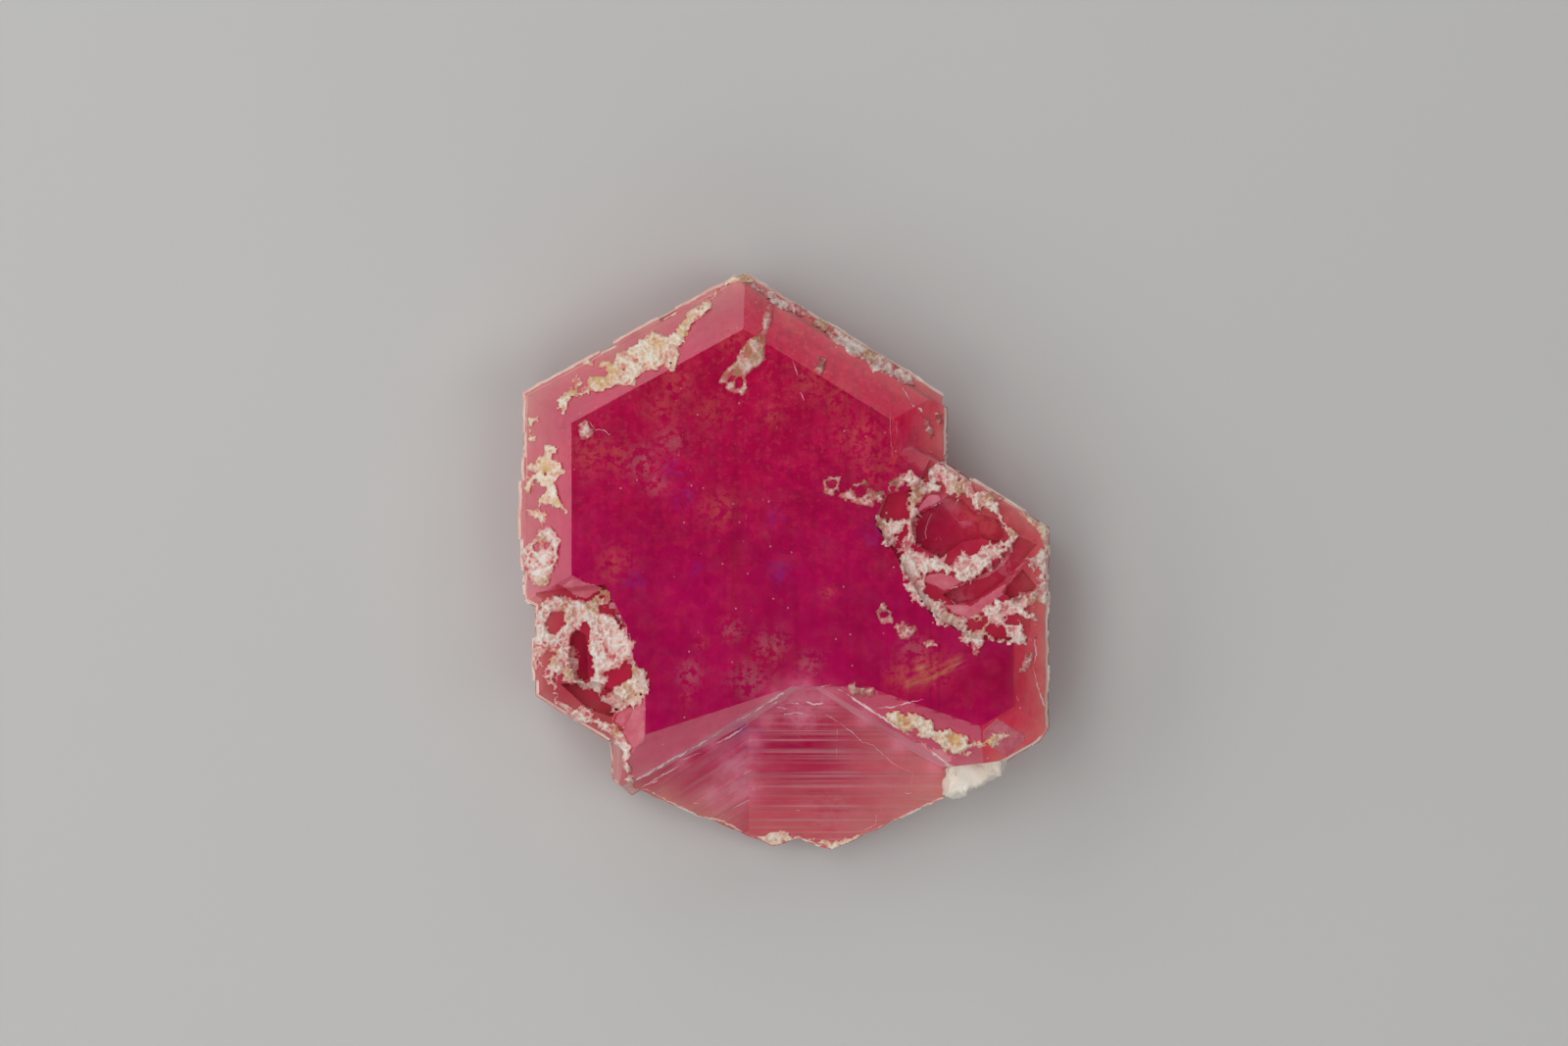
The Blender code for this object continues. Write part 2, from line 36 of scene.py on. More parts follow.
# Camera, floor and light. The low boxes are mirrored by the bevels, the high ones only brighten.
TOP_FACE = 12.0
RAY_START = 17.0
VIEW_WIDTH = 128.0
VIEW_CENTRE_Y = 3.2
LENS = 200.0
SENSOR = 36.0
FLOOR_DROP = 0.05
FLOOR_SIZE = 900.0
FLOOR_COLOURS = ((0.62, 0.615, 0.6), (0.67, 0.665, 0.65))
WORLD_STRENGTH = 0.055
# Each box: name, azimuth, elevation, distance in m, width, height, radiance
SOFTBOXES = [
    ("left_box", 180, 30, 0.6, 0.5, 0.34, 1.5),
    ("upper_left_box", 122, 30, 0.6, 0.5, 0.34, 1.5),
    ("upper_right_box", 60, 30, 0.6, 0.4, 0.3, 0.48),
    ("front_box", 262, 36, 0.6, 0.6, 0.34, 0.95),
    ("right_box", 0, 48, 0.7, 0.3, 0.2, 1.3),
]
SOFTBOXES += [("high_box_" + str(turn), turn, 66, 0.7, 0.32, 0.32, 1.9) for turn in (338, 140, 214)]

# Silhouette of the group seen from above, used to tell how near a spot is to the rim
OUTLINE = [
    (-3.28, 23.75), (-4.38, 23.12), (-8.98, 20.81), (-10.88, 19.88), (-13.94, 18.06), (-14.35, 17.48),
    (-15.14, 17.32), (-20.84, 14.17), (-21.31, 13.38), (-21.41, 8.63), (-21.78, 2.94), (-21.31, -3.07),
    (-20.36, -3.77), (-20.62, -6.08), (-20.62, -9.72), (-20.26, -11.14), (-14.26, -14.84), (-14.13, -17.78),
    (-13.09, -18.64), (-11.36, -18.73), (-7.23, -20.94), (-5.34, -21.32), (-2.18, -23.0), (-0.59, -23.4),
    (1.3, -22.84), (2.88, -23.48), (4.16, -23.8), (13.33, -19.37), (17.92, -17.46), (18.08, -16.42),
    (20.29, -15.24), (21.49, -13.98), (21.71, -11.3), (21.78, 2.62), (18.08, 5.48), (13.42, 8.0),
    (13.42, 13.38), (12.85, 14.01), (8.88, 16.54), (-1.86, 23.02),
]
# Small waves on the silhouette, in a zone along it
OUTLINE_WAVES = 0.08
OUTLINE_WAVE_ZONE = 1.2
# Corner of the top face that runs up to the lower left crust
BASAL_CORNER = [
    (-14.3, -2.4), (-10.9, -4.4), (-10.9, -10.2), (-11.4, -10.0), (-12.3, -7.8), (-13.0, -5.4),
]
BASAL_CORNER_FLOOR = 8.0
# Points above this height belong to the top face
ALMOST_TOP = 11.95
# Painted glow of light through the thin crystal: a salmon tint that grows towards the rim, weaker down the
# side walls
RIM_GLOW_WIDTH = 1.8
RIM_GLOW_FLOOR = 3.0
RIM_GLOW_HEIGHT = 3.5
RIM_GLOW_LEAST = 0.3
# The net that cuts the facets up, shifted off their corners
NET_SPACING = 0.5
NET_REACH = 25.0
NET_SHIFT = 0.37
# Zones of the crystal seen from above: left, right, lower and upper limit
NOTCH = (-13.0, 13.5, -math.inf, -10.2)
RIGHT_HOLLOW = (7.0, math.inf, -7.0, 9.0)
LEFT_HOLLOW = (-math.inf, -11.0, -16.0, -1.5)
NOTCH_TOP = 10.25
HOLLOW_TOP = 11.9
HOLLOW_FOOT = 8.5
RIM_WIDTH = 0.45
# A facet whose normal stands higher than this is flat
FLAT = 0.998
# How the crystal bends light, and how deep and of which colour its body is
REFRACTION = 1.6
BODY_DENSITY = 70.0
BODY_COLOUR = (0.95, 0.1, 0.5)
# The two sets of growth lines and the turn of each, in degrees
STRIATIONS = {"lines_across": 0.0, "lines_along": 32.8}

# The crystal's facets: colour, cloudiness, wear, lines across, lines along the side face, see-through share
FACETS = {
    "basal": ((0.78, 0.0, 0.15), 1.0, 0.0, 0.0, 0.0, 0.45),
    "bevel": ((0.84, 0.035, 0.15), 0.5, 0.03, 0.0, 0.0, 0.35),
    # Bevels facing right are copies of the bevel look in deeper red: painted shade for the side turned away
    # from the main lights
    "shaded_bevel_upper": ((1.0, 0.0, 0.085), 1.0, 0.03, 0.0, 0.0, 0.2),
    "shaded_bevel_right": ((1.0, 0.03, 0.1), 1.0, 0.04, 0.0, 0.0, 0.14),
    "striated": ((0.82, 0.035, 0.14), 0.3, 0.06, 1.0, 0.0, 0.28),
    "striated_left": ((0.8, 0.035, 0.15), 0.3, 0.06, 0.0, 0.6, 0.3),
    "wall": ((0.85, 0.12, 0.18), 0.4, 0.42, 0.0, 0.0, 0.35),
    "rim": ((0.98, 0.86, 0.74), 0.1, 0.7, 0.0, 0.0, 0.0),
    "cliff": ((0.9, 0.32, 0.43), 0.2, 0.22, 0.0, 0.0, 0.12),
    "hollow": ((0.8, 0.03, 0.09), 0.35, 0.0, 0.0, 0.0, 0.4),
    "underside": ((0.8, 0.25, 0.27), 0.7, 0.5, 0.0, 0.0, 0.35),
}
FACET_VALUES = ("cloudiness", "wear", "lines_across", "lines_along", "clearness")
# Colours of the layers that lie over a facet's own colour
TINTS = {
    "upper_half": (0.88, 0.002, 0.08),
    "dark_spot": (0.6, 0.0, 0.07),
    "cloud": (0.88, 0.015, 0.06),
    "bright_mottle": (1.0, 0.02, 0.14),
    "deep_mottle": (0.5, 0.0, 0.08),
    "orange_mottle": (0.95, 0.13, 0.14),
    "warm_spot": (1.0, 0.11, 0.14),
    "pink_spot": (0.86, 0.2, 0.28),
    "violet_spot": (0.45, 0.03, 0.4),
    "amber_fibre": (0.95, 0.4, 0.17),
    "veil": (0.85, 0.14, 0.2),
    "grain": (0.52, 0.0, 0.07),
    "fine_grain": (0.58, 0.0, 0.08),
    "seam": (0.5, 0.0, 0.06),
    "spark": (1.0, 0.66, 0.66),
    "groove": (0.6, 0.0, 0.1),
    # Painted light on the striated facets: a paler glow downwards towards the thin edge, and a paler sheen
    # to the right
    "lower_painted_glow": (0.95, 0.17, 0.18),
    "right_painted_sheen": (1.0, 0.27, 0.28),
    "bright_line": (0.95, 0.42, 0.48),
    "haze": (0.88, 0.27, 0.4),
    # rim: painted glow of light through the thin crystal near the rim
    "rim": (0.95, 0.4, 0.33),
    "scuff": (0.97, 0.86, 0.78),
}

# Soft spots of another colour inside the crystal: centre and radius
COLOUR_SPOTS = {
    "warm": [
        (-8.8, 14.7, 1.6), (-5.8, 12.3, 1.3), (-15.8, 9.1, 2.0), (-13.6, 8.7, 1.3), (-5.2, 4.3, 1.5),
        (-4.2, 18.1, 1.2), (-10.0, 12.7, 1.3), (2.2, 14.7, 1.6), (6.2, 10.3, 1.9), (7.6, 7.7, 1.7),
        (4.2, 13.5, 1.3), (-13.9, -0.2, 1.3), (-6.8, -6.6, 0.5), (-8.0, -11.0, 0.4), (3.6, -2.5, 0.5),
        (12.0, -8.5, 1.5), (9.6, -9.2, 1.2), (-1.0, 12.0, 1.0), (15.6, 3.6, 1.3), (16.9, 2.8, 1.1),
        (18.4, 3.8, 1.1), (19.7, 3.0, 1.0), (16.6, 5.9, 0.8),
    ],
    "pink": [
        (-7.7, -9.1, 1.0), (-2.8, -9.6, 1.4), (-1.0, -6.9, 1.2), (-11.6, 8.1, 1.2), (-9.2, 9.9, 1.1),
        (11.8, 4.9, 0.9), (12.4, -0.1, 1.0), (14.4, -3.4, 1.2), (18.2, -0.6, 1.1), (10.8, -18.6, 2.6),
        (4.0, -21.0, 2.0), (-3.7, -17.6, 2.0), (-10.4, 6.3, 0.8), (10.5, -6.9, 0.9), (2.0, -8.3, 0.9),
        (-4.2, -5.5, 0.8), (1.5, -12.2, 1.6),
    ],
    "violet": [
        (-9.0, 7.5, 0.7), (-0.6, 3.5, 0.6), (-8.2, 5.3, 0.7), (-12.1, -1.6, 0.8), (-7.2, -0.5, 0.5),
        (-0.4, -0.8, 1.0), (10.0, -5.6, 0.5), (7.2, 2.1, 0.8), (-20.6, -1.6, 0.8), (-3.2, -14.2, 1.2),
    ],
    "dark": [
        (17.0, -9.5, 2.8), (14.5, -10.4, 2.0), (12.0, 3.0, 2.5), (-16.2, -8.0, 1.6), (2.5, -14.9, 3.2),
        (7.5, -15.0, 2.2), (0.5, -14.9, 2.4), (-1.5, 21.5, 1.2), (9.5, 0.5, 2.2), (10.4, 9.6, 1.6),
        (-18.5, -11.2, 1.2),
    ],
    "haze": [
        (1.4, -10.8, 1.5), (-0.6, -11.4, 1.1), (3.2, -11.2, 1.0), (-3.9, -16.6, 1.7), (-3.6, -18.8, 1.5),
        (-5.6, -19.4, 1.2), (-2.6, -14.6, 0.9), (-6.0, -14.8, 0.7), (-8.4, -16.2, 0.7), (6.6, -12.8, 0.7),
        (9.4, -15.0, 0.7), (12.4, -16.6, 0.8), (1.4, -12.4, 1.2), (-1.5, -13.0, 0.8), (13.9, 4.4, 0.4),
        (14.9, 3.2, 0.3), (13.3, 5.0, 0.4),
    ],
    "amber": [
        (10.2, -9.9, 0.35), (10.9, -9.7, 0.4), (11.6, -9.4, 0.45), (12.3, -9.1, 0.5), (13.0, -8.8, 0.5),
        (13.6, -8.5, 0.5), (14.2, -8.2, 0.45), (11.2, -8.6, 0.5), (9.6, -9.0, 0.4),
    ],
}
# Rust and cream stains in the crusts
STAIN_SPOTS = [
    (-15.0, 15.1, 1.0), (-14.0, 15.9, 0.8), (-17.4, 13.9, 0.5), (-10.2, 17.9, 0.6), (-8.1, 20.1, 0.5),
    (-8.2, 19.1, 0.6), (-19.5, 7.9, 0.6), (-20.6, 5.5, 0.8), (-18.6, 4.9, 0.4), (-19.8, 1.9, 0.4),
    (-17.8, -4.1, 0.7), (-15.6, -3.6, 0.9), (-14.7, -2.5, 0.8), (-18.8, -7.8, 0.7), (-17.8, -9.0, 0.7),
    (-12.6, -8.7, 0.8), (-12.6, -10.5, 1.0), (-13.7, -13.7, 0.5), (-19.5, -1.8, 0.7), (3.2, 16.1, 0.4),
    (6.4, 6.1, 0.6), (7.6, 5.5, 0.5), (9.0, 6.3, 0.6), (10.6, 5.3, 0.9), (8.2, 3.3, 0.5), (14.3, 6.1, 0.8),
    (16.6, 5.0, 0.7), (18.4, 2.5, 0.6), (3.2, 19.7, 0.8), (7.2, 17.2, 0.8), (15.8, -5.1, 0.8),
    (13.8, -4.2, 0.7), (18.7, -1.4, 0.7), (20.5, -3.4, 0.7), (6.3, -10.4, 0.5), (9.8, -13.0, 0.9),
    (13.8, -14.4, 0.9), (16.7, -14.7, 0.5), (8.2, -4.1, 0.5), (-2.6, 17.5, 1.2), (-4.2, 15.5, 0.8),
    (-3.4, 23.2, 0.6),
]

# Crusts: material name, colours from the clefts up to the crowns, rust colour, share of rust
CRUST_LOOKS = {
    "white": ("white_crust", [
        (0.1, (0.64, 0.07, 0.11)), (0.28, (0.8, 0.33, 0.33)), (0.5, (0.89, 0.62, 0.55)),
        (0.9, (0.97, 0.91, 0.86)),
    ], (0.62, 0.34, 0.16), 0.85),
    "cream": ("cream_crust", [
        (0.08, (0.72, 0.13, 0.14)), (0.26, (0.83, 0.42, 0.36)), (0.5, (0.91, 0.69, 0.53)),
        (0.9, (0.98, 0.92, 0.81)),
    ], (0.75, 0.42, 0.12), 0.8),
    "pink": ("pink_crust", [
        (0.15, (0.5, 0.06, 0.08)), (0.4, (0.7, 0.2, 0.2)), (0.65, (0.8, 0.43, 0.4)),
        (1.0, (0.9, 0.7, 0.65)),
    ], (0.3, 0.1, 0.06), 0.95),
    "veil": ("pink_veil", [
        (0.2, (0.62, 0.06, 0.12)), (0.5, (0.69, 0.13, 0.19)), (0.8, (0.77, 0.26, 0.31)),
    ], (0.7, 0.15, 0.24), 0.0),
    "rose": ("rose_crust", [
        (0.12, (0.62, 0.07, 0.12)), (0.3, (0.77, 0.31, 0.32)), (0.54, (0.86, 0.57, 0.52)),
        (0.9, (0.96, 0.87, 0.8)),
    ], (0.55, 0.27, 0.12), 0.9),
    "tan": ("tan_crust", [
        (0.15, (0.62, 0.06, 0.1)), (0.34, (0.68, 0.17, 0.18)), (0.55, (0.75, 0.36, 0.33)),
        (0.85, (0.85, 0.64, 0.58)),
    ], (0.42, 0.18, 0.06), 0.9),
}
ROCK_LOOK = (
    "white_rock", [(0.2, (0.94, 0.8, 0.62)), (0.6, (1.0, 0.91, 0.78)), (1.0, (1.0, 0.95, 0.86))],
    (0.6, 0.45, 0.3), 0.5,
)

# How the crusts lie: grid step, spread of the edge, width of its slope, depth at which a patch is whole,
# film under the grains, swell on top of a patch's thickness, and root inside the crystal
CRUST_STEP = 0.09
CRUST_SPREAD = 0.18
CRUST_SHOULDER = 0.4
DEEPEST_COVER = 0.7
CRUST_FILM = 0.02
CRUST_SWELL = 0.1
CRUST_ROOT = 0.1
# Grid steps over which grooves are bridged, and rounds of easing at steps of the crystal
GROOVE_REACH = 3
EASING_PASSES = 7
# A crust stops where the crystal falls away this far at its silhouette
LEDGE_REACH = 5
LEDGE_ZONE = 0.7
LEDGE_DROP = 2.4
# Crust patches: name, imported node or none, material, thickness, raggedness, laciness, outlines, holes
CRUST_PATCHES = [
    ("upper_left_crust", "crust_upper_left", "cream", 0.24, 0.3, 0.2,
     [
      [(-18.4, 13.2), (-17.7, 13.8), (-17.4, 14.8), (-16.8, 15.1), (-16.4, 14.7), (-16.8, 13.5),
       (-17.5, 13.3), (-18.1, 12.5), (-18.4, 12.7)],
      [(-16.3, 14.6), (-15.9, 15.1), (-14.8, 15.4), (-14.4, 16.1), (-13.4, 17.2), (-12.4, 17.8),
       (-11.6, 18.7), (-10.4, 19.0), (-9.6, 18.7), (-8.8, 19.2), (-8.0, 20.2), (-6.8, 21.0), (-6.1, 21.7),
       (-5.6, 22.2), (-5.8, 21.7), (-6.1, 20.9), (-6.9, 20.0), (-7.6, 19.5), (-7.8, 18.7), (-8.2, 18.3),
       (-8.4, 16.7), (-8.8, 16.0), (-9.6, 15.8), (-10.6, 15.6), (-11.6, 15.3), (-12.4, 14.8), (-13.4, 14.4),
       (-14.4, 14.0), (-15.4, 13.9), (-16.1, 14.0)],
      [(-16.1, 16.4), (-15.4, 16.7), (-14.4, 16.4), (-14.9, 15.8), (-15.8, 15.7)],
     ],
     []),
    ("left_upper_crust", "crust_left_upper", "cream", 0.22, 0.32, 0.2,
     [
      [(-19.3, 9.7), (-18.8, 9.3), (-18.9, 8.7), (-18.2, 7.9), (-18.3, 7.3), (-18.6, 6.9), (-18.4, 5.7),
       (-17.8, 4.3), (-18.4, 4.0), (-19.0, 4.6), (-20.0, 4.7), (-20.2, 5.1), (-19.8, 5.5), (-19.4, 6.0),
       (-20.2, 6.6), (-20.7, 8.0), (-20.3, 8.3), (-19.6, 8.9), (-19.7, 9.3)],
      [(-21.0, 11.8), (-20.0, 12.0), (-20.1, 11.4), (-20.8, 11.3)],
      [(-20.8, 10.2), (-20.1, 10.3), (-20.2, 10.0), (-20.8, 9.9)],
      [(-21.2, 6.7), (-20.4, 6.8), (-20.6, 5.4), (-21.2, 5.1)],
      [(-20.9, 4.1), (-19.6, 4.2), (-18.8, 3.8), (-19.8, 3.4)],
     ],
     []),
    ("left_lower_crust", "crust_left_lower", "white", 0.34, 0.2, 0.05,
     [
      [(-20.3, 2.2), (-19.9, 2.6), (-19.3, 2.7), (-18.7, 2.4), (-18.5, 1.6), (-18.5, 0.5), (-18.7, -0.2),
       (-19.1, -0.9), (-19.4, -1.8), (-20.4, -1.7), (-20.9, -0.6), (-21.4, 0.0), (-21.6, 0.7), (-21.0, 1.0),
       (-20.5, 1.5)],
     ],
     [
      [(-19.6, 1.7), (-19.1, 1.6), (-19.0, 1.1), (-19.5, 1.1)],
      [(-20.5, 1.3), (-20.1, 1.6), (-20.0, 1.1), (-20.4, 0.9)],
     ]),
    ("lower_left_crust", "crust_lower_left", "white", 0.3, 0.26, 0.2,
     [
      [(-20.3, -3.7), (-19.9, -3.1), (-18.8, -2.7), (-17.5, -2.9), (-16.4, -3.1), (-15.9, -3.4),
       (-15.5, -2.7), (-14.5, -2.1), (-14.3, -3.0), (-15.1, -4.1), (-13.9, -4.5), (-12.9, -5.4),
       (-12.6, -6.3), (-12.4, -7.6), (-11.9, -8.5), (-11.1, -9.6), (-11.0, -10.6), (-11.6, -11.4),
       (-12.8, -11.9), (-13.6, -12.1), (-14.0, -13.1), (-13.2, -13.6), (-12.6, -15.1), (-12.5, -16.7),
       (-12.4, -18.1), (-12.8, -17.8), (-13.2, -16.5), (-13.3, -15.4), (-14.0, -15.0), (-14.2, -14.3),
       (-15.2, -13.4), (-16.6, -13.0), (-17.7, -12.3), (-18.6, -11.7), (-18.7, -10.5), (-19.5, -10.1),
       (-19.6, -8.9), (-20.4, -8.7), (-20.6, -7.4), (-20.5, -5.8), (-20.1, -4.7)],
     ],
     [
      [(-16.3, -5.2), (-16.1, -6.3), (-15.8, -7.8), (-16.1, -9.8), (-17.0, -9.6), (-16.5, -8.5),
       (-17.2, -6.9), (-17.1, -5.8)],
      [(-18.3, -9.6), (-17.5, -10.0), (-16.1, -10.4), (-15.2, -11.1), (-14.2, -12.0), (-14.1, -13.2),
       (-15.0, -12.7), (-16.1, -12.1), (-17.2, -11.4), (-18.1, -11.0), (-18.4, -10.3)],
      [(-19.0, -4.4), (-18.2, -4.1), (-18.2, -5.0), (-18.8, -5.4), (-19.2, -4.9)],
      [(-14.5, -9.6), (-13.0, -8.5), (-12.8, -9.4), (-13.8, -10.1), (-14.5, -11.1), (-15.0, -10.9)],
      [(-19.7, -7.7), (-19.2, -7.5), (-19.3, -8.6), (-19.6, -8.7)],
     ]),
    ("right_outer_crust", "crust_right_outer", "rose", 0.2, 0.3, 0.25,
     [
      [(11.7, 8.6), (12.1, 9.1), (12.8, 9.3), (13.4, 8.9), (13.4, 7.3), (14.8, 7.0), (15.4, 6.1),
       (15.7, 5.2), (14.8, 5.3), (13.5, 5.4), (13.0, 6.0), (11.8, 6.6)],
      [(15.4, 5.7), (16.6, 5.7), (17.7, 5.3), (17.8, 4.3), (18.4, 3.1), (19.2, 2.5), (18.6, 1.5),
       (18.2, 0.8), (17.5, 0.9), (18.2, 1.9), (18.0, 2.6), (17.4, 3.6), (16.2, 4.2), (15.4, 4.7)],
     ],
     [
      [(12.1, 8.7), (12.7, 8.8), (12.7, 8.2), (12.2, 8.1)],
     ]),
    ("right_inner_crust", "crust_right_inner", "rose", 0.22, 0.3, 0.25,
     [
      [(9.6, 7.0), (10.5, 7.3), (11.8, 6.8), (13.0, 6.1), (12.4, 5.8), (11.6, 5.4), (11.0, 4.7),
       (10.8, 3.8), (10.3, 2.9), (10.6, 1.7), (10.8, 0.3), (9.2, 0.3), (8.2, 1.4), (8.1, 2.4), (7.3, 3.0),
       (7.4, 3.7), (8.2, 3.9), (9.0, 3.5), (10.0, 3.8), (10.3, 5.1), (10.4, 5.9), (9.7, 6.6)],
      [(8.9, 1.3), (11.2, 1.3), (12.5, 0.5), (13.8, 0.2), (15.2, 0.7), (16.5, 1.3), (17.8, 1.6),
       (18.4, 1.1), (17.9, 0.2), (16.8, -0.6), (15.6, -1.3), (14.5, -1.4), (13.4, -1.1), (12.3, -0.7),
       (11.4, -1.2), (11.6, -2.3), (12.8, -3.4), (14.0, -4.3), (15.2, -4.9), (16.5, -4.0), (17.4, -3.0),
       (18.5, -3.2), (19.6, -2.7), (20.5, -2.2), (20.7, -1.0), (20.0, -0.1), (20.9, 0.5), (21.6, 1.1),
       (21.9, -0.3), (21.6, -1.6), (21.4, -3.6), (20.8, -4.3), (20.9, -5.6), (20.6, -6.5), (19.9, -6.3),
       (19.6, -5.6), (19.9, -6.9), (18.5, -6.8), (17.2, -6.3), (16.4, -6.1), (15.9, -7.3), (14.9, -6.6),
       (13.4, -5.4), (12.0, -4.3), (10.7, -3.2), (10.1, -2.1), (9.9, -1.0), (9.3, 0.2)],
     ],
     [
      [(15.1, -5.0), (15.5, -4.6), (16.1, -4.7), (16.4, -5.2), (15.9, -5.7), (15.4, -5.7)],
      [(16.4, -5.6), (16.9, -4.9), (17.7, -5.4), (18.2, -6.2), (17.3, -6.1)],
      [(19.4, -4.8), (20.2, -4.6), (20.5, -5.3), (20.1, -6.1), (19.5, -5.6)],
      [(20.3, -3.9), (21.2, -3.6), (21.4, -4.1), (20.8, -4.5)],
      [(18.3, -4.9), (19.0, -4.4), (19.2, -5.0), (18.6, -5.2)],
      [(9.4, 2.4), (9.9, 2.7), (10.0, 2.2), (9.6, 2.0)],
     ]),
    ("lower_right_crust", "crust_lower_right", "cream", 0.34, 0.24, 0.1,
     [
      [(8.4, -12.8), (8.9, -12.3), (10.0, -12.4), (11.2, -12.9), (12.1, -13.1), (12.3, -13.5),
       (12.9, -13.7), (14.0, -13.8), (15.0, -14.3), (15.2, -14.7), (16.0, -14.6), (16.9, -14.2),
       (17.6, -14.0), (18.2, -14.1), (17.9, -14.6), (16.9, -15.0), (16.0, -15.2), (15.2, -15.3),
       (14.7, -15.7), (13.8, -15.9), (13.1, -15.4), (12.7, -14.5), (12.0, -14.3), (11.2, -14.1),
       (10.3, -13.7), (9.4, -13.4)],
      [(14.8, -15.3), (15.6, -15.3), (15.6, -15.8), (14.9, -15.9)],
     ],
     []),
    ("upper_right_crust", "crust_upper_right", "rose", 0.08, 0.2, 0.12,
     [
      [(-3.3, 22.8), (-2.6, 22.5), (-1.6, 21.9), (-0.6, 21.3), (0.4, 20.9), (0.4, 21.2), (-0.6, 21.9),
       (-1.6, 22.4), (-2.6, 23.0)],
      [(-0.4, 21.7), (0.8, 21.2), (2.4, 20.2), (3.6, 19.5), (5.6, 18.5), (7.6, 17.5), (9.0, 16.5),
       (10.4, 15.4), (10.6, 14.7), (9.6, 14.7), (8.4, 15.3), (7.6, 15.7), (6.8, 16.6), (5.6, 17.1),
       (4.4, 17.9), (3.4, 18.6), (2.6, 19.6), (1.6, 20.1), (0.4, 20.7), (-0.4, 21.0)],
     ],
     []),
    ("cap_crust", "crust_cap", "cream", 0.26, 0.12, 0.0,
     [
      [(-4.9, 22.8), (-4.2, 23.3), (-3.5, 23.7), (-3.1, 23.7), (-2.6, 23.3), (-2.2, 22.9), (-2.8, 22.8),
       (-3.6, 23.0), (-4.4, 22.9)],
     ],
     []),
    ("tongue_crust", "crust_vein", "tan", 0.12, 0.14, 0.0,
     [
      [(-1.4, 21.1), (-1.0, 21.1), (-1.1, 19.9), (-1.4, 18.7), (-1.6, 17.7), (-1.7, 16.5), (-2.4, 15.9),
       (-3.1, 15.3), (-3.0, 14.3), (-3.4, 13.7), (-4.0, 13.9), (-4.7, 14.3), (-4.1, 14.7), (-3.8, 15.2),
       (-4.3, 15.4), (-4.9, 14.8), (-5.3, 14.5), (-5.2, 15.0), (-4.6, 15.7), (-3.7, 16.5), (-3.3, 17.3),
       (-2.6, 18.1), (-1.8, 18.7), (-1.6, 19.9)],
     ],
     [
      [(-3.9, 15.0), (-3.5, 15.1), (-3.4, 14.4), (-3.8, 14.3)],
     ]),
    ("small_crusts", None, "pink", 0.12, 0.2, 0.08,
     [
      [(2.6, 16.0), (3.0, 16.7), (3.6, 16.7), (3.4, 15.6), (2.9, 15.4)],
      [(3.4, 6.6), (3.9, 6.9), (4.5, 6.8), (4.4, 6.1), (3.9, 5.7), (3.4, 5.9)],
      [(4.8, 5.6), (5.4, 6.2), (6.5, 6.7), (7.0, 6.2), (7.3, 5.7), (8.1, 5.6), (8.0, 5.1), (7.3, 5.0),
       (7.1, 4.6), (6.4, 4.8), (5.6, 5.0), (5.0, 5.0)],
      [(8.5, 6.2), (9.0, 6.8), (9.7, 7.2), (10.4, 7.1), (10.2, 6.6), (9.6, 6.2), (9.2, 5.7), (8.7, 5.8)],
      [(11.6, 11.6), (11.8, 11.5), (12.2, 10.4), (12.0, 10.1), (11.7, 10.8)],
      [(12.5, 12.2), (12.8, 12.0), (12.8, 11.4), (12.5, 11.5)],
      [(7.6, -3.9), (8.0, -3.6), (8.7, -4.1), (8.7, -4.7), (7.9, -4.9), (7.6, -4.5)],
      [(9.2, -5.4), (9.7, -5.1), (10.3, -5.3), (10.8, -5.4), (10.5, -5.9), (10.2, -6.2), (9.6, -6.1)],
      [(11.4, -6.7), (12.0, -6.4), (12.9, -6.7), (12.7, -6.9), (11.8, -7.0)],
      [(5.2, -10.1), (6.0, -10.0), (7.4, -10.4), (7.3, -10.8), (6.3, -10.7), (5.6, -10.5)],
      [(19.3, -8.8), (19.6, -8.0), (20.2, -7.5), (20.4, -7.7), (20.2, -8.5), (19.7, -9.1)],
      [(-16.7, 11.1), (-16.2, 11.4), (-15.6, 10.9), (-15.9, 10.4), (-16.4, 10.3)],
     ],
     [
      [(3.5, 6.6), (4.1, 6.6), (4.0, 6.1), (3.6, 6.1)],
      [(5.8, 6.0), (6.5, 6.2), (6.7, 5.7), (6.0, 5.5)],
      [(8.7, 6.2), (9.0, 6.4), (9.1, 6.1), (8.8, 5.9)],
      [(7.9, -3.9), (8.5, -4.1), (8.4, -4.5), (7.9, -4.4)],
     ]),
    ("pink_facets", None, "veil", 0.0, 0.05, 0.0,
     [
      [(10.8, 3.9), (11.7, 4.4), (13.0, 4.9), (12.7, 5.5), (11.8, 5.5), (11.3, 5.0)],
      [(11.4, -1.1), (12.9, -0.8), (14.9, -1.5), (13.1, -2.4), (12.2, -1.9), (11.5, -1.6)],
      [(15.2, -1.4), (17.2, -0.5), (18.0, 0.4), (18.4, 1.5), (18.8, 1.0), (18.0, -0.3), (16.6, -1.3),
       (15.6, -1.6)],
      [(12.9, -3.5), (14.3, -3.4), (15.3, -3.5), (16.6, -2.6), (18.2, -1.6), (18.2, -2.5), (17.3, -3.2),
       (16.3, -4.1), (15.2, -4.7), (14.0, -4.3)],
      [(-13.6, -12.1), (-12.4, -11.8), (-11.3, -11.1), (-11.3, -14.7), (-12.4, -15.4), (-12.8, -14.5),
       (-13.2, -13.6), (-13.9, -13.1)],
      [(-18.2, -1.9), (-17.2, -1.3), (-14.6, -2.1), (-15.5, -2.6), (-16.1, -3.1), (-17.2, -2.7)],
      [(16.1, -13.7), (17.4, -12.7), (19.8, -14.1), (19.7, -14.6), (18.3, -16.0), (17.2, -15.3),
       (16.2, -14.5)],
     ],
     []),
    ("bottom_edge_crust", None, "cream", 0.03, 0.14, 0.1,
     [
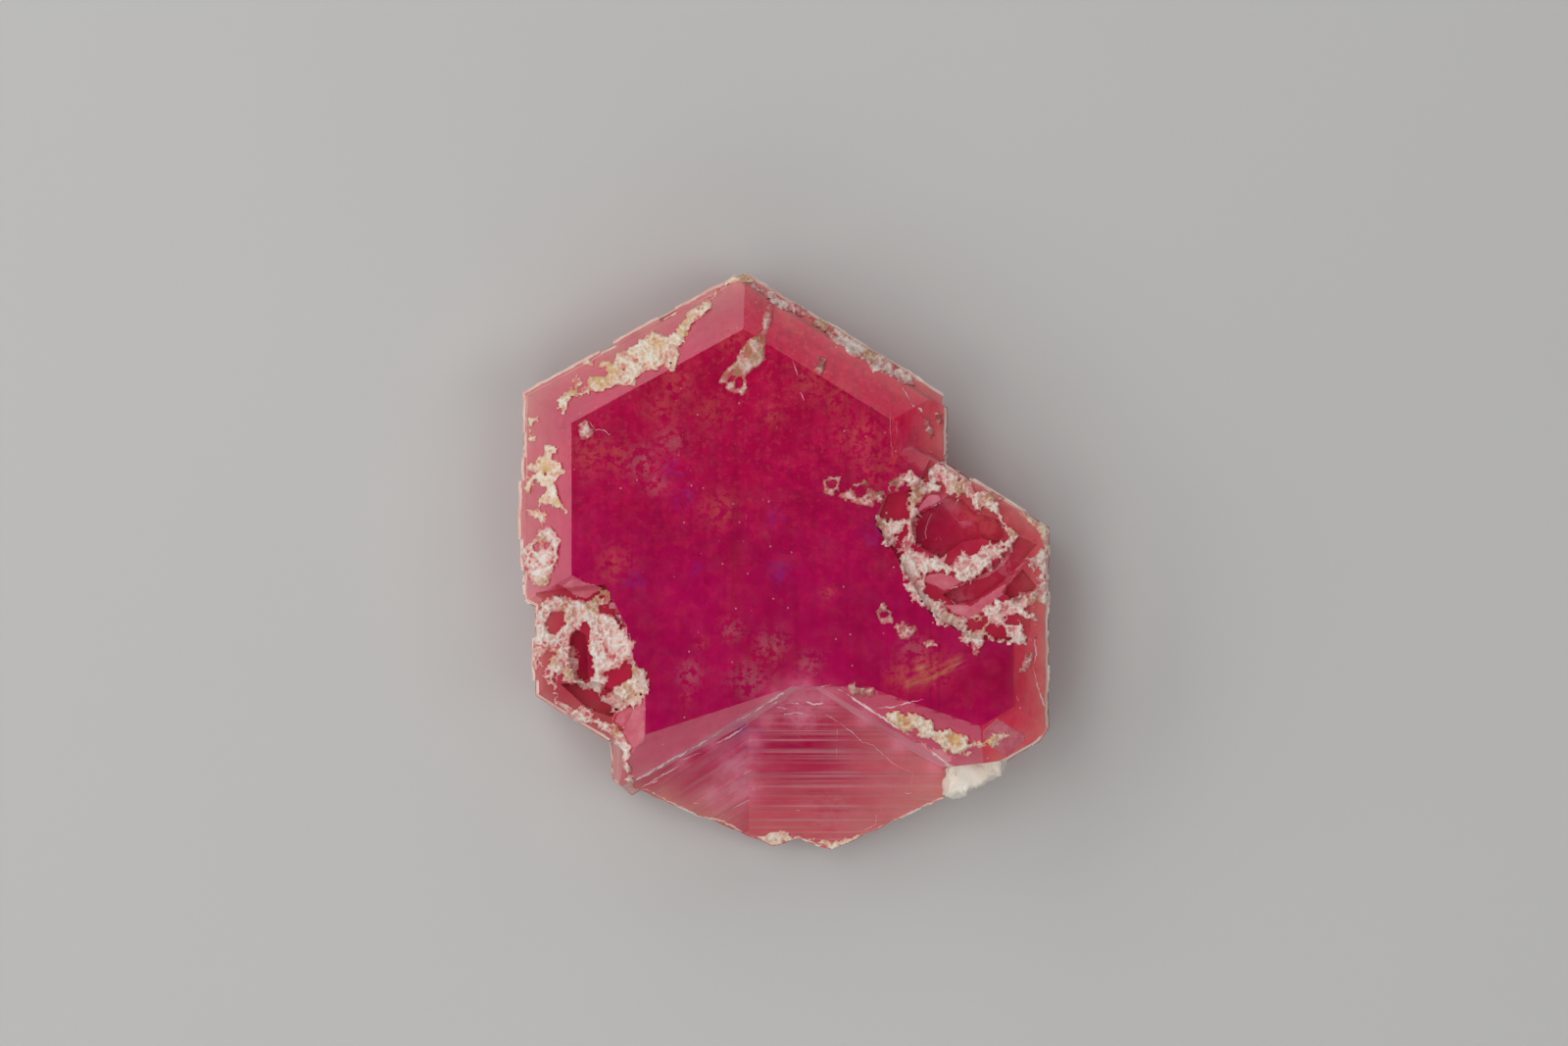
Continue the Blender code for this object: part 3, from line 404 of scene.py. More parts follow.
      [(-2.2, -22.7), (-1.5, -22.5), (-0.6, -22.4), (0.4, -22.4), (0.4, -23.5), (-1.4, -23.5)],
      [(-0.4, -22.8), (0.7, -22.7), (1.4, -22.7), (0.5, -23.3), (-0.4, -23.5)],
      [(19.6, 4.1), (20.5, 3.7), (21.6, 2.7), (21.8, 0.8), (21.5, 0.6), (21.2, 2.0), (20.6, 2.8),
       (19.9, 3.6)],
      [(2.0, -22.9), (3.4, -23.0), (4.4, -23.1), (5.6, -22.8), (6.5, -22.5), (4.8, -23.8), (4.0, -23.9)],
     ],
     []),
]

# Thin lines on the surface: step along them, depth of their root, jump of the ground that ends a line,
# and the fewest steps in a line
LINE_STEP = 0.2
LINE_ROOT = 0.05
LINE_JUMP = 0.5
SHORTEST_RUN = 3
# How much a line swells and shrinks at each step, its least swell, how far it wanders, and its steepness
SWELL_STEP = 0.35
LEAST_SWELL = 0.12
LINE_WANDER = 0.05
LINE_STEEPNESS = 0.4
LINE_COLOURS = {
    "pale": ((0.93, 0.78, 0.78), (0.86, 0.5, 0.54)),
    "orange": ((0.9, 0.4, 0.3), (0.8, 0.2, 0.2)),
}
RIM_LINE_COLOURS = ((0.97, 0.88, 0.76), (0.94, 0.62, 0.5))
RIM_LINE_WIDTH = 0.13
RIM_INSET = 0.9945
# Width and route of each line, by material
SURFACE_LINES = {
    "pale": [
        (0.17, [(-12.1, -17.8), (-10.4, -16.8), (-8.4, -15.7), (-5.9, -14.3), (-4.1, -13.1), (-2.1, -12.0),
                (-0.1, -10.6)]),
        (0.12, [(-8.6, -16.3), (-6.8, -15.6), (-5.0, -14.6), (-3.5, -13.7), (-2.1, -12.5), (-0.6, -11.4)]),
        (0.1, [(-11.7, -18.5), (-10.4, -17.7), (-8.6, -16.7)]),
        (0.07, [(-5.1, -20.9), (-3.7, -20.0), (-2.9, -19.6)]),
        (0.06, [(-7.2, -19.7), (-5.5, -18.7), (-3.7, -17.6), (-2.7, -17.1)]),
        (0.12, [(-8.2, -16.2), (-7.5, -16.0)]),
        (0.12, [(-10.9, -18.1), (-10.4, -17.9)]),
        (0.12, [(-7.4, -19.8), (-6.8, -19.9)]),
        (0.1, [(-2.6, -18.7), (-1.7, -18.6)]),
        (0.16, [(3.8, -10.0), (5.4, -10.9), (6.9, -11.9), (8.5, -12.9), (10.3, -14.3), (12.0, -15.5),
                (13.8, -16.7)]),
        (0.12, [(4.7, -10.1), (6.0, -11.3), (7.8, -12.3), (9.4, -13.5), (11.2, -14.7), (12.9, -16.1),
                (14.1, -17.2)]),
        (0.1, [(7.6, -11.9), (8.9, -11.8), (10.3, -11.4), (11.4, -11.2)]),
        (0.06, [(3.4, -12.5), (4.5, -13.1), (5.5, -13.9), (6.5, -14.8), (7.3, -15.0), (8.0, -15.7),
                (8.9, -16.5), (10.0, -17.1), (10.6, -17.3)]),
        (0.08, [(10.6, -17.3), (10.4, -18.5), (10.5, -19.0), (9.9, -19.0)]),
        (0.09, [(8.0, -19.5), (8.0, -20.5), (7.6, -20.9), (7.6, -21.6), (6.7, -22.1)]),
        (0.12, [(0.3, -20.4), (1.3, -20.5)]),
        (0.07, [(4.4, -13.6), (4.3, -16.1)]),
        (0.1, [(20.9, 0.9), (19.7, 0.0), (19.0, -0.7), (18.5, -1.6), (18.0, -2.3), (18.4, -3.0),
               (19.0, -3.5)]),
        (0.1, [(19.0, -10.9), (19.2, -11.5), (18.9, -12.3), (18.5, -12.7)]),
        (0.09, [(20.4, -6.0), (20.6, -7.4), (20.4, -8.7), (20.7, -10.0), (21.0, -10.9), (21.3, -11.8)]),
        (0.08, [(12.5, -3.7), (12.9, -3.1)]),
        (0.08, [(9.7, 14.3), (10.2, 13.4), (10.6, 12.9), (11.2, 12.3)]),
        (0.16, [(10.4, 13.0), (10.6, 12.7)]),
        (0.16, [(11.0, 12.6), (11.3, 12.3)]),
        (0.07, [(0.7, 16.5), (1.0, 15.7), (1.1, 15.3)]),
        (0.08, [(0.4, 14.7), (1.1, 15.1), (1.5, 15.4)]),
        (0.1, [(1.3, 13.9), (1.7, 13.2)]),
        (0.07, [(-10.4, 7.3), (-10.7, 6.6)]),
        (0.07, [(-15.9, 11.5), (-15.4, 10.8), (-14.7, 10.8), (-14.2, 10.4)]),
        (0.06, [(-3.1, 3.9), (-3.2, 2.1)]),
        (0.06, [(-0.6, 11.1), (-0.8, 9.9)]),
        (0.06, [(12.0, 3.9), (11.6, 2.7), (11.6, 1.9)]),
        (0.12, [(1.8, -11.4), (2.5, -11.6), (3.2, -11.5)]),
        (0.1, [(0.0, -12.5), (0.9, -12.3), (1.6, -12.4)]),
        (0.1, [(-0.4, -11.7), (0.5, -11.5), (1.2, -11.6)]),
        (0.1, [(-0.6, -11.9), (0.4, -12.0)]),
        (0.1, [(2.3, -10.5), (3.2, -10.1), (3.8, -10.0)]),
        (0.09, [(10.7, 1.4), (10.7, 2.7), (10.7, 3.9), (11.8, 4.4), (13.0, 5.0)]),
        (0.05, [(11.5, 1.9), (11.8, 3.1), (12.1, 4.0)]),
        (0.1, [(12.4, 1.8), (12.7, 2.2), (12.9, 1.7)]),
        (0.08, [(14.3, 5.1), (13.8, 4.5), (13.8, 3.8), (14.3, 3.3), (15.0, 3.3)]),
        (0.06, [(15.2, 4.5), (16.4, 3.7), (17.6, 3.2)]),
        (0.07, [(13.1, -2.3), (14.4, -1.9), (16.0, -1.2), (17.2, -0.1), (18.2, 1.5), (18.4, 2.0)]),
        (0.06, [(13.1, -2.3), (13.8, -3.3), (14.6, -3.9), (15.8, -3.1), (17.6, -2.1)]),
        (0.06, [(19.2, 2.2), (20.2, 1.9), (21.1, 2.4)]),
    ],
    "orange": [
        (0.07, [(8.6, 11.9), (8.7, 10.7), (8.8, 9.3), (8.8, 8.5)]),
        (0.06, [(8.9, 11.9), (8.9, 10.5)]),
        (0.07, [(9.2, 11.5), (9.2, 9.9), (9.1, 8.5)]),
    ],
}

# Broken chip of rock at the lower right
CHIP_OUTLINE = [
    (13.1, -19.1), (13.3, -17.8), (13.5, -16.6), (15.2, -16.0), (18.1, -15.9), (18.2, -16.6), (17.9, -17.4),
    (16.7, -18.0), (15.2, -18.8), (14.9, -19.2), (13.6, -19.3),
]
CHIP_STEP = 0.16
CHIP_RINGS = 44
CHIP_BOTTOM = 2.5
CHIP_TOP = 8.8
CHIP_UPPER_ROUNDING = 0.22
CHIP_LOWER_ROUNDING = 0.7
CHIP_CROWN_ROUNDING = 0.45
CHIP_BUMPS = 0.3
CHIP_BREAKS = 0.2
CHIP_TILT = 1.0 / 1.3


def new_piece(name, mesh, material):
    """A visible piece in the scene, with its one material."""
    mesh.materials.clear()
    mesh.materials.append(material)
    piece = bpy.data.objects.new(name, mesh)
    bpy.context.scene.collection.objects.link(piece)
    return piece


def mesh_from(mesh_data, name):
    """Turns the bmesh into a mesh with its faces facing out."""
    bmesh.ops.recalc_face_normals(mesh_data, faces=mesh_data.faces)
    mesh = bpy.data.meshes.new(name)
    mesh_data.to_mesh(mesh)
    mesh_data.free()
    return mesh


def points_in_mm(mesh):
    return np.array([vertex.co[:] for vertex in mesh.vertices]) / MM


def polygon_distance(outline, across, along):
    """Distance in mm to the outline for arrays of spots: above zero inside it, below zero outside."""
    nearest = np.full(across.shape, 1e9)
    inside = np.zeros(across.shape, dtype=bool)
    for index, (end_x, end_y) in enumerate(outline):
        start_x, start_y = outline[index - 1]
        run_x = end_x - start_x
        run_y = end_y - start_y
        share = ((across - start_x) * run_x + (along - start_y) * run_y) / (run_x ** 2 + run_y ** 2)
        share = np.clip(share, 0.0, 1.0)
        gap = np.hypot(across - start_x - share * run_x, along - start_y - share * run_y)
        nearest = np.minimum(nearest, gap)
        straddles = (end_y > along) != (start_y > along)
        height = run_y if run_y else 1e-9
        inside ^= straddles & (across < start_x + (along - start_y) / height * run_x)
    return np.where(inside, nearest, -nearest)


def lattice_value(column, row, seed):
    """A repeatable random number from 0 to 1 for each whole-number place."""
    mixed = column.astype(np.int64) * 374761393 + row.astype(np.int64) * 668265263 + seed * 144665
    mixed &= 0x7FFFFFFF
    mixed = ((mixed ^ (mixed >> 13)) * 1274126177) & 0x7FFFFFFF
    return ((mixed ^ (mixed >> 16)) & 0xFFFF) / 65535.0


def smooth_noise(across, along, seed):
    column = np.floor(across)
    row = np.floor(along)
    blend_x = across - column
    blend_y = along - row
    blend_x = blend_x * blend_x * (3.0 - 2.0 * blend_x)
    blend_y = blend_y * blend_y * (3.0 - 2.0 * blend_y)
    low = (lattice_value(column, row, seed) * (1.0 - blend_x)
           + lattice_value(column + 1, row, seed) * blend_x)
    high = (lattice_value(column, row + 1, seed) * (1.0 - blend_x)
            + lattice_value(column + 1, row + 1, seed) * blend_x)
    return low * (1.0 - blend_y) + high * blend_y


def layered_noise(across, along, fineness, seed, layers=4):
    """Noise around zero, from about -1 to 1, with finer layers half as strong."""
    across = across * fineness
    along = along * fineness
    total = np.zeros(across.shape)
    strength = 1.0
    for layer in range(layers):
        total += strength * (smooth_noise(across, along, seed + layer * 17) * 2.0 - 1.0)
        across = across * 2.03 + 7.1
        along = along * 2.03 + 3.7
        strength *= 0.5
    return total


def spot_glow(spots, across, along):
    """1 at the centre of a spot, fading to 0 around it."""
    glow = np.zeros(across.shape)
    for centre_x, centre_y, radius in spots:
        reach = ((across - centre_x) ** 2 + (along - centre_y) ** 2) / radius ** 2
        glow = np.maximum(glow, np.exp(-reach))
    return glow


def grain_lumps(across, along, seed):
    """Rounded grains, one in each cell of an uneven net: 1 on a grain's crown, 0 between grains."""
    column = np.floor(across)
    row = np.floor(along)
    nearest = np.full(across.shape, 9.0)
    for step_x, step_y in itertools.product((-1, 0, 1), repeat=2):
        cell_x = column + step_x
        cell_y = row + step_y
        grain_x = cell_x + 0.15 + 0.7 * lattice_value(cell_x, cell_y, seed)
        grain_y = cell_y + 0.15 + 0.7 * lattice_value(cell_x, cell_y, seed + 5)
        size = 0.7 + 0.6 * lattice_value(cell_x, cell_y, seed + 9)
        nearest = np.minimum(nearest, np.hypot(across - grain_x, along - grain_y) / size)
    return np.sqrt(np.clip(1.0 - nearest * nearest, 0.0, 1.0))


def ground_heights(tree, across, along):
    """Height in mm of the crystal under each spot, and -1 beside it."""
    heights = np.full(across.shape, -1.0)
    down = Vector((0.0, 0.0, -1.0))
    for place in np.ndindex(across.shape):
        start = Vector((across[place], along[place], RAY_START)) * MM
        hit = tree.ray_cast(start, down)[0]
        if hit is not None:
            heights[place] = hit.z / MM
    return heights


def spread_out(heights, pick, reach):
    """Each place takes the highest, or the lowest, of itself and its four neighbours, reach times over."""
    for _ in range(reach):
        padded = np.pad(heights, 1, mode="edge")
        heights = pick.reduce([padded[1:-1, 1:-1], padded[:-2, 1:-1], padded[2:, 1:-1], padded[1:-1, :-2],
                               padded[1:-1, 2:]])
    return heights


def eased_steps(heights):
    """The height map with its steep steps eased into short slopes that lie on it."""
    eased = heights
    for _ in range(EASING_PASSES):
        padded = np.pad(eased, 1, mode="edge")
        rows = padded[:-2] + padded[1:-1] + padded[2:]
        eased = np.maximum(heights, (rows[:, :-2] + rows[:, 1:-1] + rows[:, 2:]) / 9.0)
    return eased


def below_the_rim(heights, across, along):
    """Spots close to the silhouette that lie on a ledge of the side walls."""
    highest = spread_out(heights, np.maximum, LEDGE_REACH)
    return (polygon_distance(OUTLINE, across, along) < LEDGE_ZONE) & (heights < highest - LEDGE_DROP)


def closed_height_mesh(name, across, along, top, bottom, kept):
    """A closed mesh between two height maps over the kept grid points."""
    index = np.full(across.shape, -1)
    index[kept] = np.arange(kept.sum())
    count = int(kept.sum())
    upper = np.stack([across[kept], along[kept], top[kept]], axis=1) * MM
    lower = np.stack([across[kept], along[kept], bottom[kept]], axis=1) * MM
    corners = [index[:-1, :-1], index[:-1, 1:], index[1:, 1:], index[1:, :-1]]
    quads = np.stack([corner.ravel() for corner in corners], axis=1)
    quads = quads[(quads >= 0).all(axis=1)]
    edges = np.concatenate([quads[:, [0, 1]], quads[:, [1, 2]], quads[:, [2, 3]], quads[:, [3, 0]]])
    seen = {}
    for start, end in edges.tolist():
        key = (min(start, end), max(start, end))
        seen[key] = None if key in seen else (start, end)
    rim = np.array([pair for pair in seen.values() if pair is not None])
    walls = np.stack([rim[:, 1], rim[:, 0], rim[:, 0] + count, rim[:, 1] + count], axis=1)
    faces = np.concatenate([quads, quads[:, ::-1] + count, walls])
    mesh = bpy.data.meshes.new(name)
    mesh.from_pydata(np.concatenate([upper, lower]).tolist(), [], faces.tolist())
    mesh.shade_smooth()
    mesh.update()
    return mesh


def drop_loose_points(mesh):
    mesh_data = bmesh.new()
    mesh_data.from_mesh(mesh)
    loose = [vertex for vertex in mesh_data.verts if not vertex.link_faces]
    bmesh.ops.delete(mesh_data, geom=loose, context="VERTS")
    bmesh.ops.recalc_face_normals(mesh_data, faces=mesh_data.faces)
    mesh_data.to_mesh(mesh)
    mesh_data.free()


def torn_cover(patch, seed, across, along):
    """Depth inside a patch, above zero where it covers: torn, with threads and pores left bare."""
    _, _, _, thickness, raggedness, laciness, outlines, holes = patch
    cover = np.full(across.shape, -9.0)
    for outline in outlines:
        cover = np.maximum(cover, polygon_distance(outline, across, along))
    if thickness:
        cover += CRUST_SPREAD
    for hole in holes:
        cover = np.minimum(cover, -polygon_distance(hole, across, along))
    cover = np.minimum(cover, DEEPEST_COVER)
    cover += raggedness * layered_noise(across, along, 1.1, seed)
    cover += 0.6 * raggedness * layered_noise(across, along, 4.0, seed + 40)
    threads = np.abs(layered_noise(across, along, 1.1, seed + 60, 3))
    cover -= laciness * np.clip(threads * 2.4 - 1.0, 0.0, 2.0)
    pores = layered_noise(across, along, 2.4, seed + 70, 3)
    cover -= 2.2 * laciness * np.clip(pores - 0.35, 0.0, 1.0)
    return cover


def crust_relief(across, along, seed):
    """Lumps, curls, grains and flecks, from 0 in the clefts to 1 on the crowns."""
    lumps = 0.5 + 0.5 * layered_noise(across, along, 1.3, seed + 80, 5)
    curls = 1.0 - np.clip(2.6 * np.abs(layered_noise(across, along, 2.0, seed + 90, 3)), 0.0, 1.0)
    fine_grains = grain_lumps(across * 5.0, along * 5.0, seed + 4)
    flecks = 0.5 + 0.5 * layered_noise(across, along, 6.0, seed + 5, 2)
    relief = 0.32 * lumps + 0.34 * curls + 0.22 * fine_grains + 0.2 * flecks
    return np.clip(1.7 * (relief - 0.5) + 0.5, 0.0, 1.0)


def skin_relief(across, along, seed):
    """The even sheen of a clean facet."""
    return 0.35 + 0.3 * (0.5 + 0.5 * layered_noise(across, along, 1.3, seed + 80, 5))


def build_crust(patch, seed, tree, materials):
    """A grainy patch with a torn edge and holes, draped over the crystal."""
    name, node, material, thickness = patch[:4]
    corners = np.array([corner for outline in patch[6] for corner in outline])
    left, lower = corners.min(axis=0) - 1.0
    right, upper = corners.max(axis=0) + 1.0
    across, along = np.meshgrid(np.arange(left, right, CRUST_STEP), np.arange(lower, upper, CRUST_STEP))
    cover = torn_cover(patch, seed, across, along)
    ground = np.full(across.shape, -1.0)
    near = cover > -0.5
    ground[near] = ground_heights(tree, across[near], along[near])
    beside = ground < 0.0
    ground = spread_out(spread_out(ground, np.maximum, GROOVE_REACH), np.minimum, GROOVE_REACH)
    ground[beside] = -1.0
    kept = (cover > 0.0) & (ground > 0.0) & ~below_the_rim(ground, across, along)
    if thickness:
        body = np.clip(cover / CRUST_SHOULDER, 0.0, 1.0)
        body = body * body * (3.0 - 2.0 * body)
        relief = crust_relief(across, along, seed)
        relief_height = thickness + CRUST_SWELL
    else:
        body = np.ones(across.shape)
        relief = skin_relief(across, along, seed)
        relief_height = 0.0
    top = eased_steps(ground) + CRUST_FILM + body * relief_height * relief
    mesh = closed_height_mesh(name, across, along, top, ground - CRUST_ROOT, kept)
    stains = spot_glow(STAIN_SPOTS, across[kept], along[kept])
    store_values(mesh, "stain", "POINT", np.concatenate([stains, stains]))
    crown = (relief * (0.35 + 0.65 * body))[kept]
    store_values(mesh, "crown", "POINT", np.concatenate([crown, crown]))
    drop_loose_points(mesh)
    piece = new_piece(name, mesh, materials[material])
    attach(piece, "root")
    if node:
        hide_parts(node)


def resampled(route, step):
    """Evenly spaced points along a route, with the way it runs at each."""
    points = []
    for start, end in zip(route, route[1:]):
        start = Vector(start)
        run = Vector(end) - start
        count = max(1, round(run.length / step))
        points += [(start + run * (number / count), run.normalized()) for number in range(count)]
    points.append((Vector(route[-1]), points[-1][1]))
    return points


def rim_route():
    """The silhouette drawn in a little, as a closed route."""
    inner = [(across * RIM_INSET, along * RIM_INSET) for across, along in OUTLINE]
    return inner + inner[:1]


def add_ridge(mesh_data, run):
    """A closed three-sided ridge through the rows of points of one run."""
    if len(run) < SHORTEST_RUN:
        return
    rows = [[mesh_data.verts.new(point) for point in points] for points in run]
    for row, next_row in zip(rows, rows[1:]):
        for corner in range(3):
            follower = (corner + 1) % 3
            mesh_data.faces.new((row[corner], row[follower], next_row[follower], next_row[corner]))
    mesh_data.faces.new(rows[0])
    mesh_data.faces.new(rows[-1])


def ridge_runs(width, route, rng, tree):
    """Rows of three points along the route, in a new run wherever the ground jumps."""
    runs = [[]]
    last_ground = None
    swell = 0.5
    for spot, way in resampled(route, LINE_STEP):
        swell = min(1.0, max(LEAST_SWELL, swell + rng.uniform(-SWELL_STEP, SWELL_STEP)))
        half = width * swell
        side = Vector((-way.y, way.x)) * half
        spot = spot + side.normalized() * rng.uniform(-LINE_WANDER, LINE_WANDER)
        ground = ground_heights(tree, np.array([spot.x]), np.array([spot.y]))[0]
        if ground < 0.0:
            continue
        if last_ground is not None and abs(ground - last_ground) > LINE_JUMP:
            runs.append([])
        last_ground = ground
        runs[-1].append([
            Vector((spot.x + side.x, spot.y + side.y, ground - LINE_ROOT)) * MM,
            Vector((spot.x - side.x, spot.y - side.y, ground - LINE_ROOT)) * MM,
            Vector((spot.x, spot.y, ground + LINE_STEEPNESS * half)) * MM,
        ])
    return runs


def build_lines(name, routes, seed, tree, material):
    """Thin ridges on the surface along the routes, in one piece."""
    rng = random.Random(seed)
    line_mesh = bmesh.new()
    for width, route in routes:
        for run in ridge_runs(width, route, rng, tree):
            add_ridge(line_mesh, run)
    piece = new_piece(name, mesh_from(line_mesh, name), material)
    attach(piece, "root")


def inside_zone(zone, across, along):
    left, right, lower, upper = zone
    return left < across < right and lower < along < upper


def facet_kind(centre, normal, from_outline):
    """Which kind of facet this is, from where it is and how it stands."""
    across, along, height = centre
    in_notch = inside_zone(NOTCH, across, along) and height < NOTCH_TOP
    in_hollow = inside_zone(RIGHT_HOLLOW, across, along) or inside_zone(LEFT_HOLLOW, across, along)
    if normal.z < -0.2:
        return "underside"
    if in_notch and normal.z > 0.35:
        return "striated_left" if normal.x > 0.12 else "striated"
    if normal.z > FLAT and height > HOLLOW_TOP:
        return "basal"
    if 0.25 < normal.z < 0.4:
        return "cliff"
    if abs(normal.z - 0.5) < 0.03:
        return "rim" if from_outline < RIM_WIDTH else "bevel"
    if in_hollow and height < HOLLOW_TOP and normal.z > FLAT:
        return "hollow"
    # Bevels facing right take the deeper red copy, as painted shade
    if normal.z > 0.45 and normal.x > 0.2:
        return "shaded_bevel_upper" if normal.y > 0.1 else "shaded_bevel_right"
    if normal.z > 0.45:
        return "bevel"
    if in_hollow and 0.0 < normal.z < 0.25 and height > HOLLOW_FOOT:
        return "hollow"
    return "wall"


def store_values(mesh, name, domain, values):
    """Stores one number, or one colour, for each face or point of the mesh."""
    values = np.asarray(values, dtype=np.float32)
    coloured = values.ndim == 2
    layer = mesh.attributes.new(name, "FLOAT_COLOR" if coloured else "FLOAT", domain)
    layer.data.foreach_set("color" if coloured else "value", values.ravel())


def paint_facets(mesh):
    """Stores each facet's look, each point's painted glow of light through the thin rim, which grows nearer
    the rim, and each point's nearness to the spots.
    """
    centres = np.array([face.center[:] for face in mesh.polygons]) / MM
    from_outline = polygon_distance(OUTLINE, centres[:, 0], centres[:, 1])
    looks = [FACETS[facet_kind(centre, face.normal, distance)]
             for centre, face, distance in zip(centres, mesh.polygons, from_outline)]
    store_values(mesh, "tint", "FACE", [(*look[0], 1.0) for look in looks])
    for place, name in enumerate(FACET_VALUES, start=1):
        store_values(mesh, name, "FACE", [look[place] for look in looks])
    points = points_in_mm(mesh)
    distance = polygon_distance(OUTLINE, points[:, 0], points[:, 1])
    # Painted glow of light through the thin crystal, strongest at the rim and weaker down the side walls
    rim_glow_share = np.clip((points[:, 2] - RIM_GLOW_FLOOR) / RIM_GLOW_HEIGHT, RIM_GLOW_LEAST, 1.0)
    store_values(mesh, "rim", "POINT", rim_glow_share * np.exp(-np.clip(distance, 0.0, None) / RIM_GLOW_WIDTH))
    for name, spots in COLOUR_SPOTS.items():
        store_values(mesh, name, "POINT", spot_glow(spots, points[:, 0], points[:, 1]))


def roughen_outline(mesh):
    """Small waves along the outline, fading out towards the middle."""
    points = points_in_mm(mesh)
    across = points[:, 0].copy()
    along = points[:, 1].copy()
    distance = polygon_distance(OUTLINE, across, along)
    share = np.clip(1.0 - np.abs(distance) / OUTLINE_WAVE_ZONE, 0.0, 1.0) * OUTLINE_WAVES
    points[:, 0] += share * layered_noise(across, along, 1.3, 21, 2)
    points[:, 1] += share * layered_noise(across, along, 1.3, 23, 2)
    mesh.vertices.foreach_set("co", (points * MM).ravel())
    mesh.update()


def refine_crystal(mesh):
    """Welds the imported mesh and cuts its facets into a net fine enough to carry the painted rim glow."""
    mesh_data = bmesh.new()
    mesh_data.from_mesh(mesh)
    bmesh.ops.remove_doubles(mesh_data, verts=mesh_data.verts, dist=WELD)
    steps = round(NET_REACH / NET_SPACING)
    for direction in (Vector((1.0, 0.0, 0.0)), Vector((0.0, 1.0, 0.0))):
        for step in range(-steps, steps):
            everything = mesh_data.verts[:] + mesh_data.edges[:] + mesh_data.faces[:]
            bmesh.ops.bisect_plane(mesh_data, geom=everything, dist=WELD, plane_no=direction,
                                   plane_co=direction * (step + NET_SHIFT) * NET_SPACING * MM)
    places = np.array([vertex.co[:] for vertex in mesh_data.verts]) / MM
    beside_crust = polygon_distance(BASAL_CORNER, places[:, 0], places[:, 1]) > -0.02
    for vertex, raised in zip(mesh_data.verts, beside_crust):
        height = vertex.co.z / MM
        if ALMOST_TOP < height < TOP_FACE or (raised and height > BASAL_CORNER_FLOOR):
            vertex.co.z = TOP_FACE * MM
    bmesh.ops.dissolve_degenerate(mesh_data, edges=mesh_data.edges, dist=WELD)
    mesh_data.to_mesh(mesh)
    mesh_data.free()
    mesh.shade_flat()


def build_crystal(material):
    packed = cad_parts["pezzottaite_crystal"]
    mesh = packed.data.copy()
    mesh.transform(packed.matrix_world)
    refine_crystal(mesh)
    paint_facets(mesh)
    roughen_outline(mesh)
    piece = new_piece("crystal_look", mesh, material)
    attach(piece, "root")
    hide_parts("pezzottaite_crystal")
    return piece


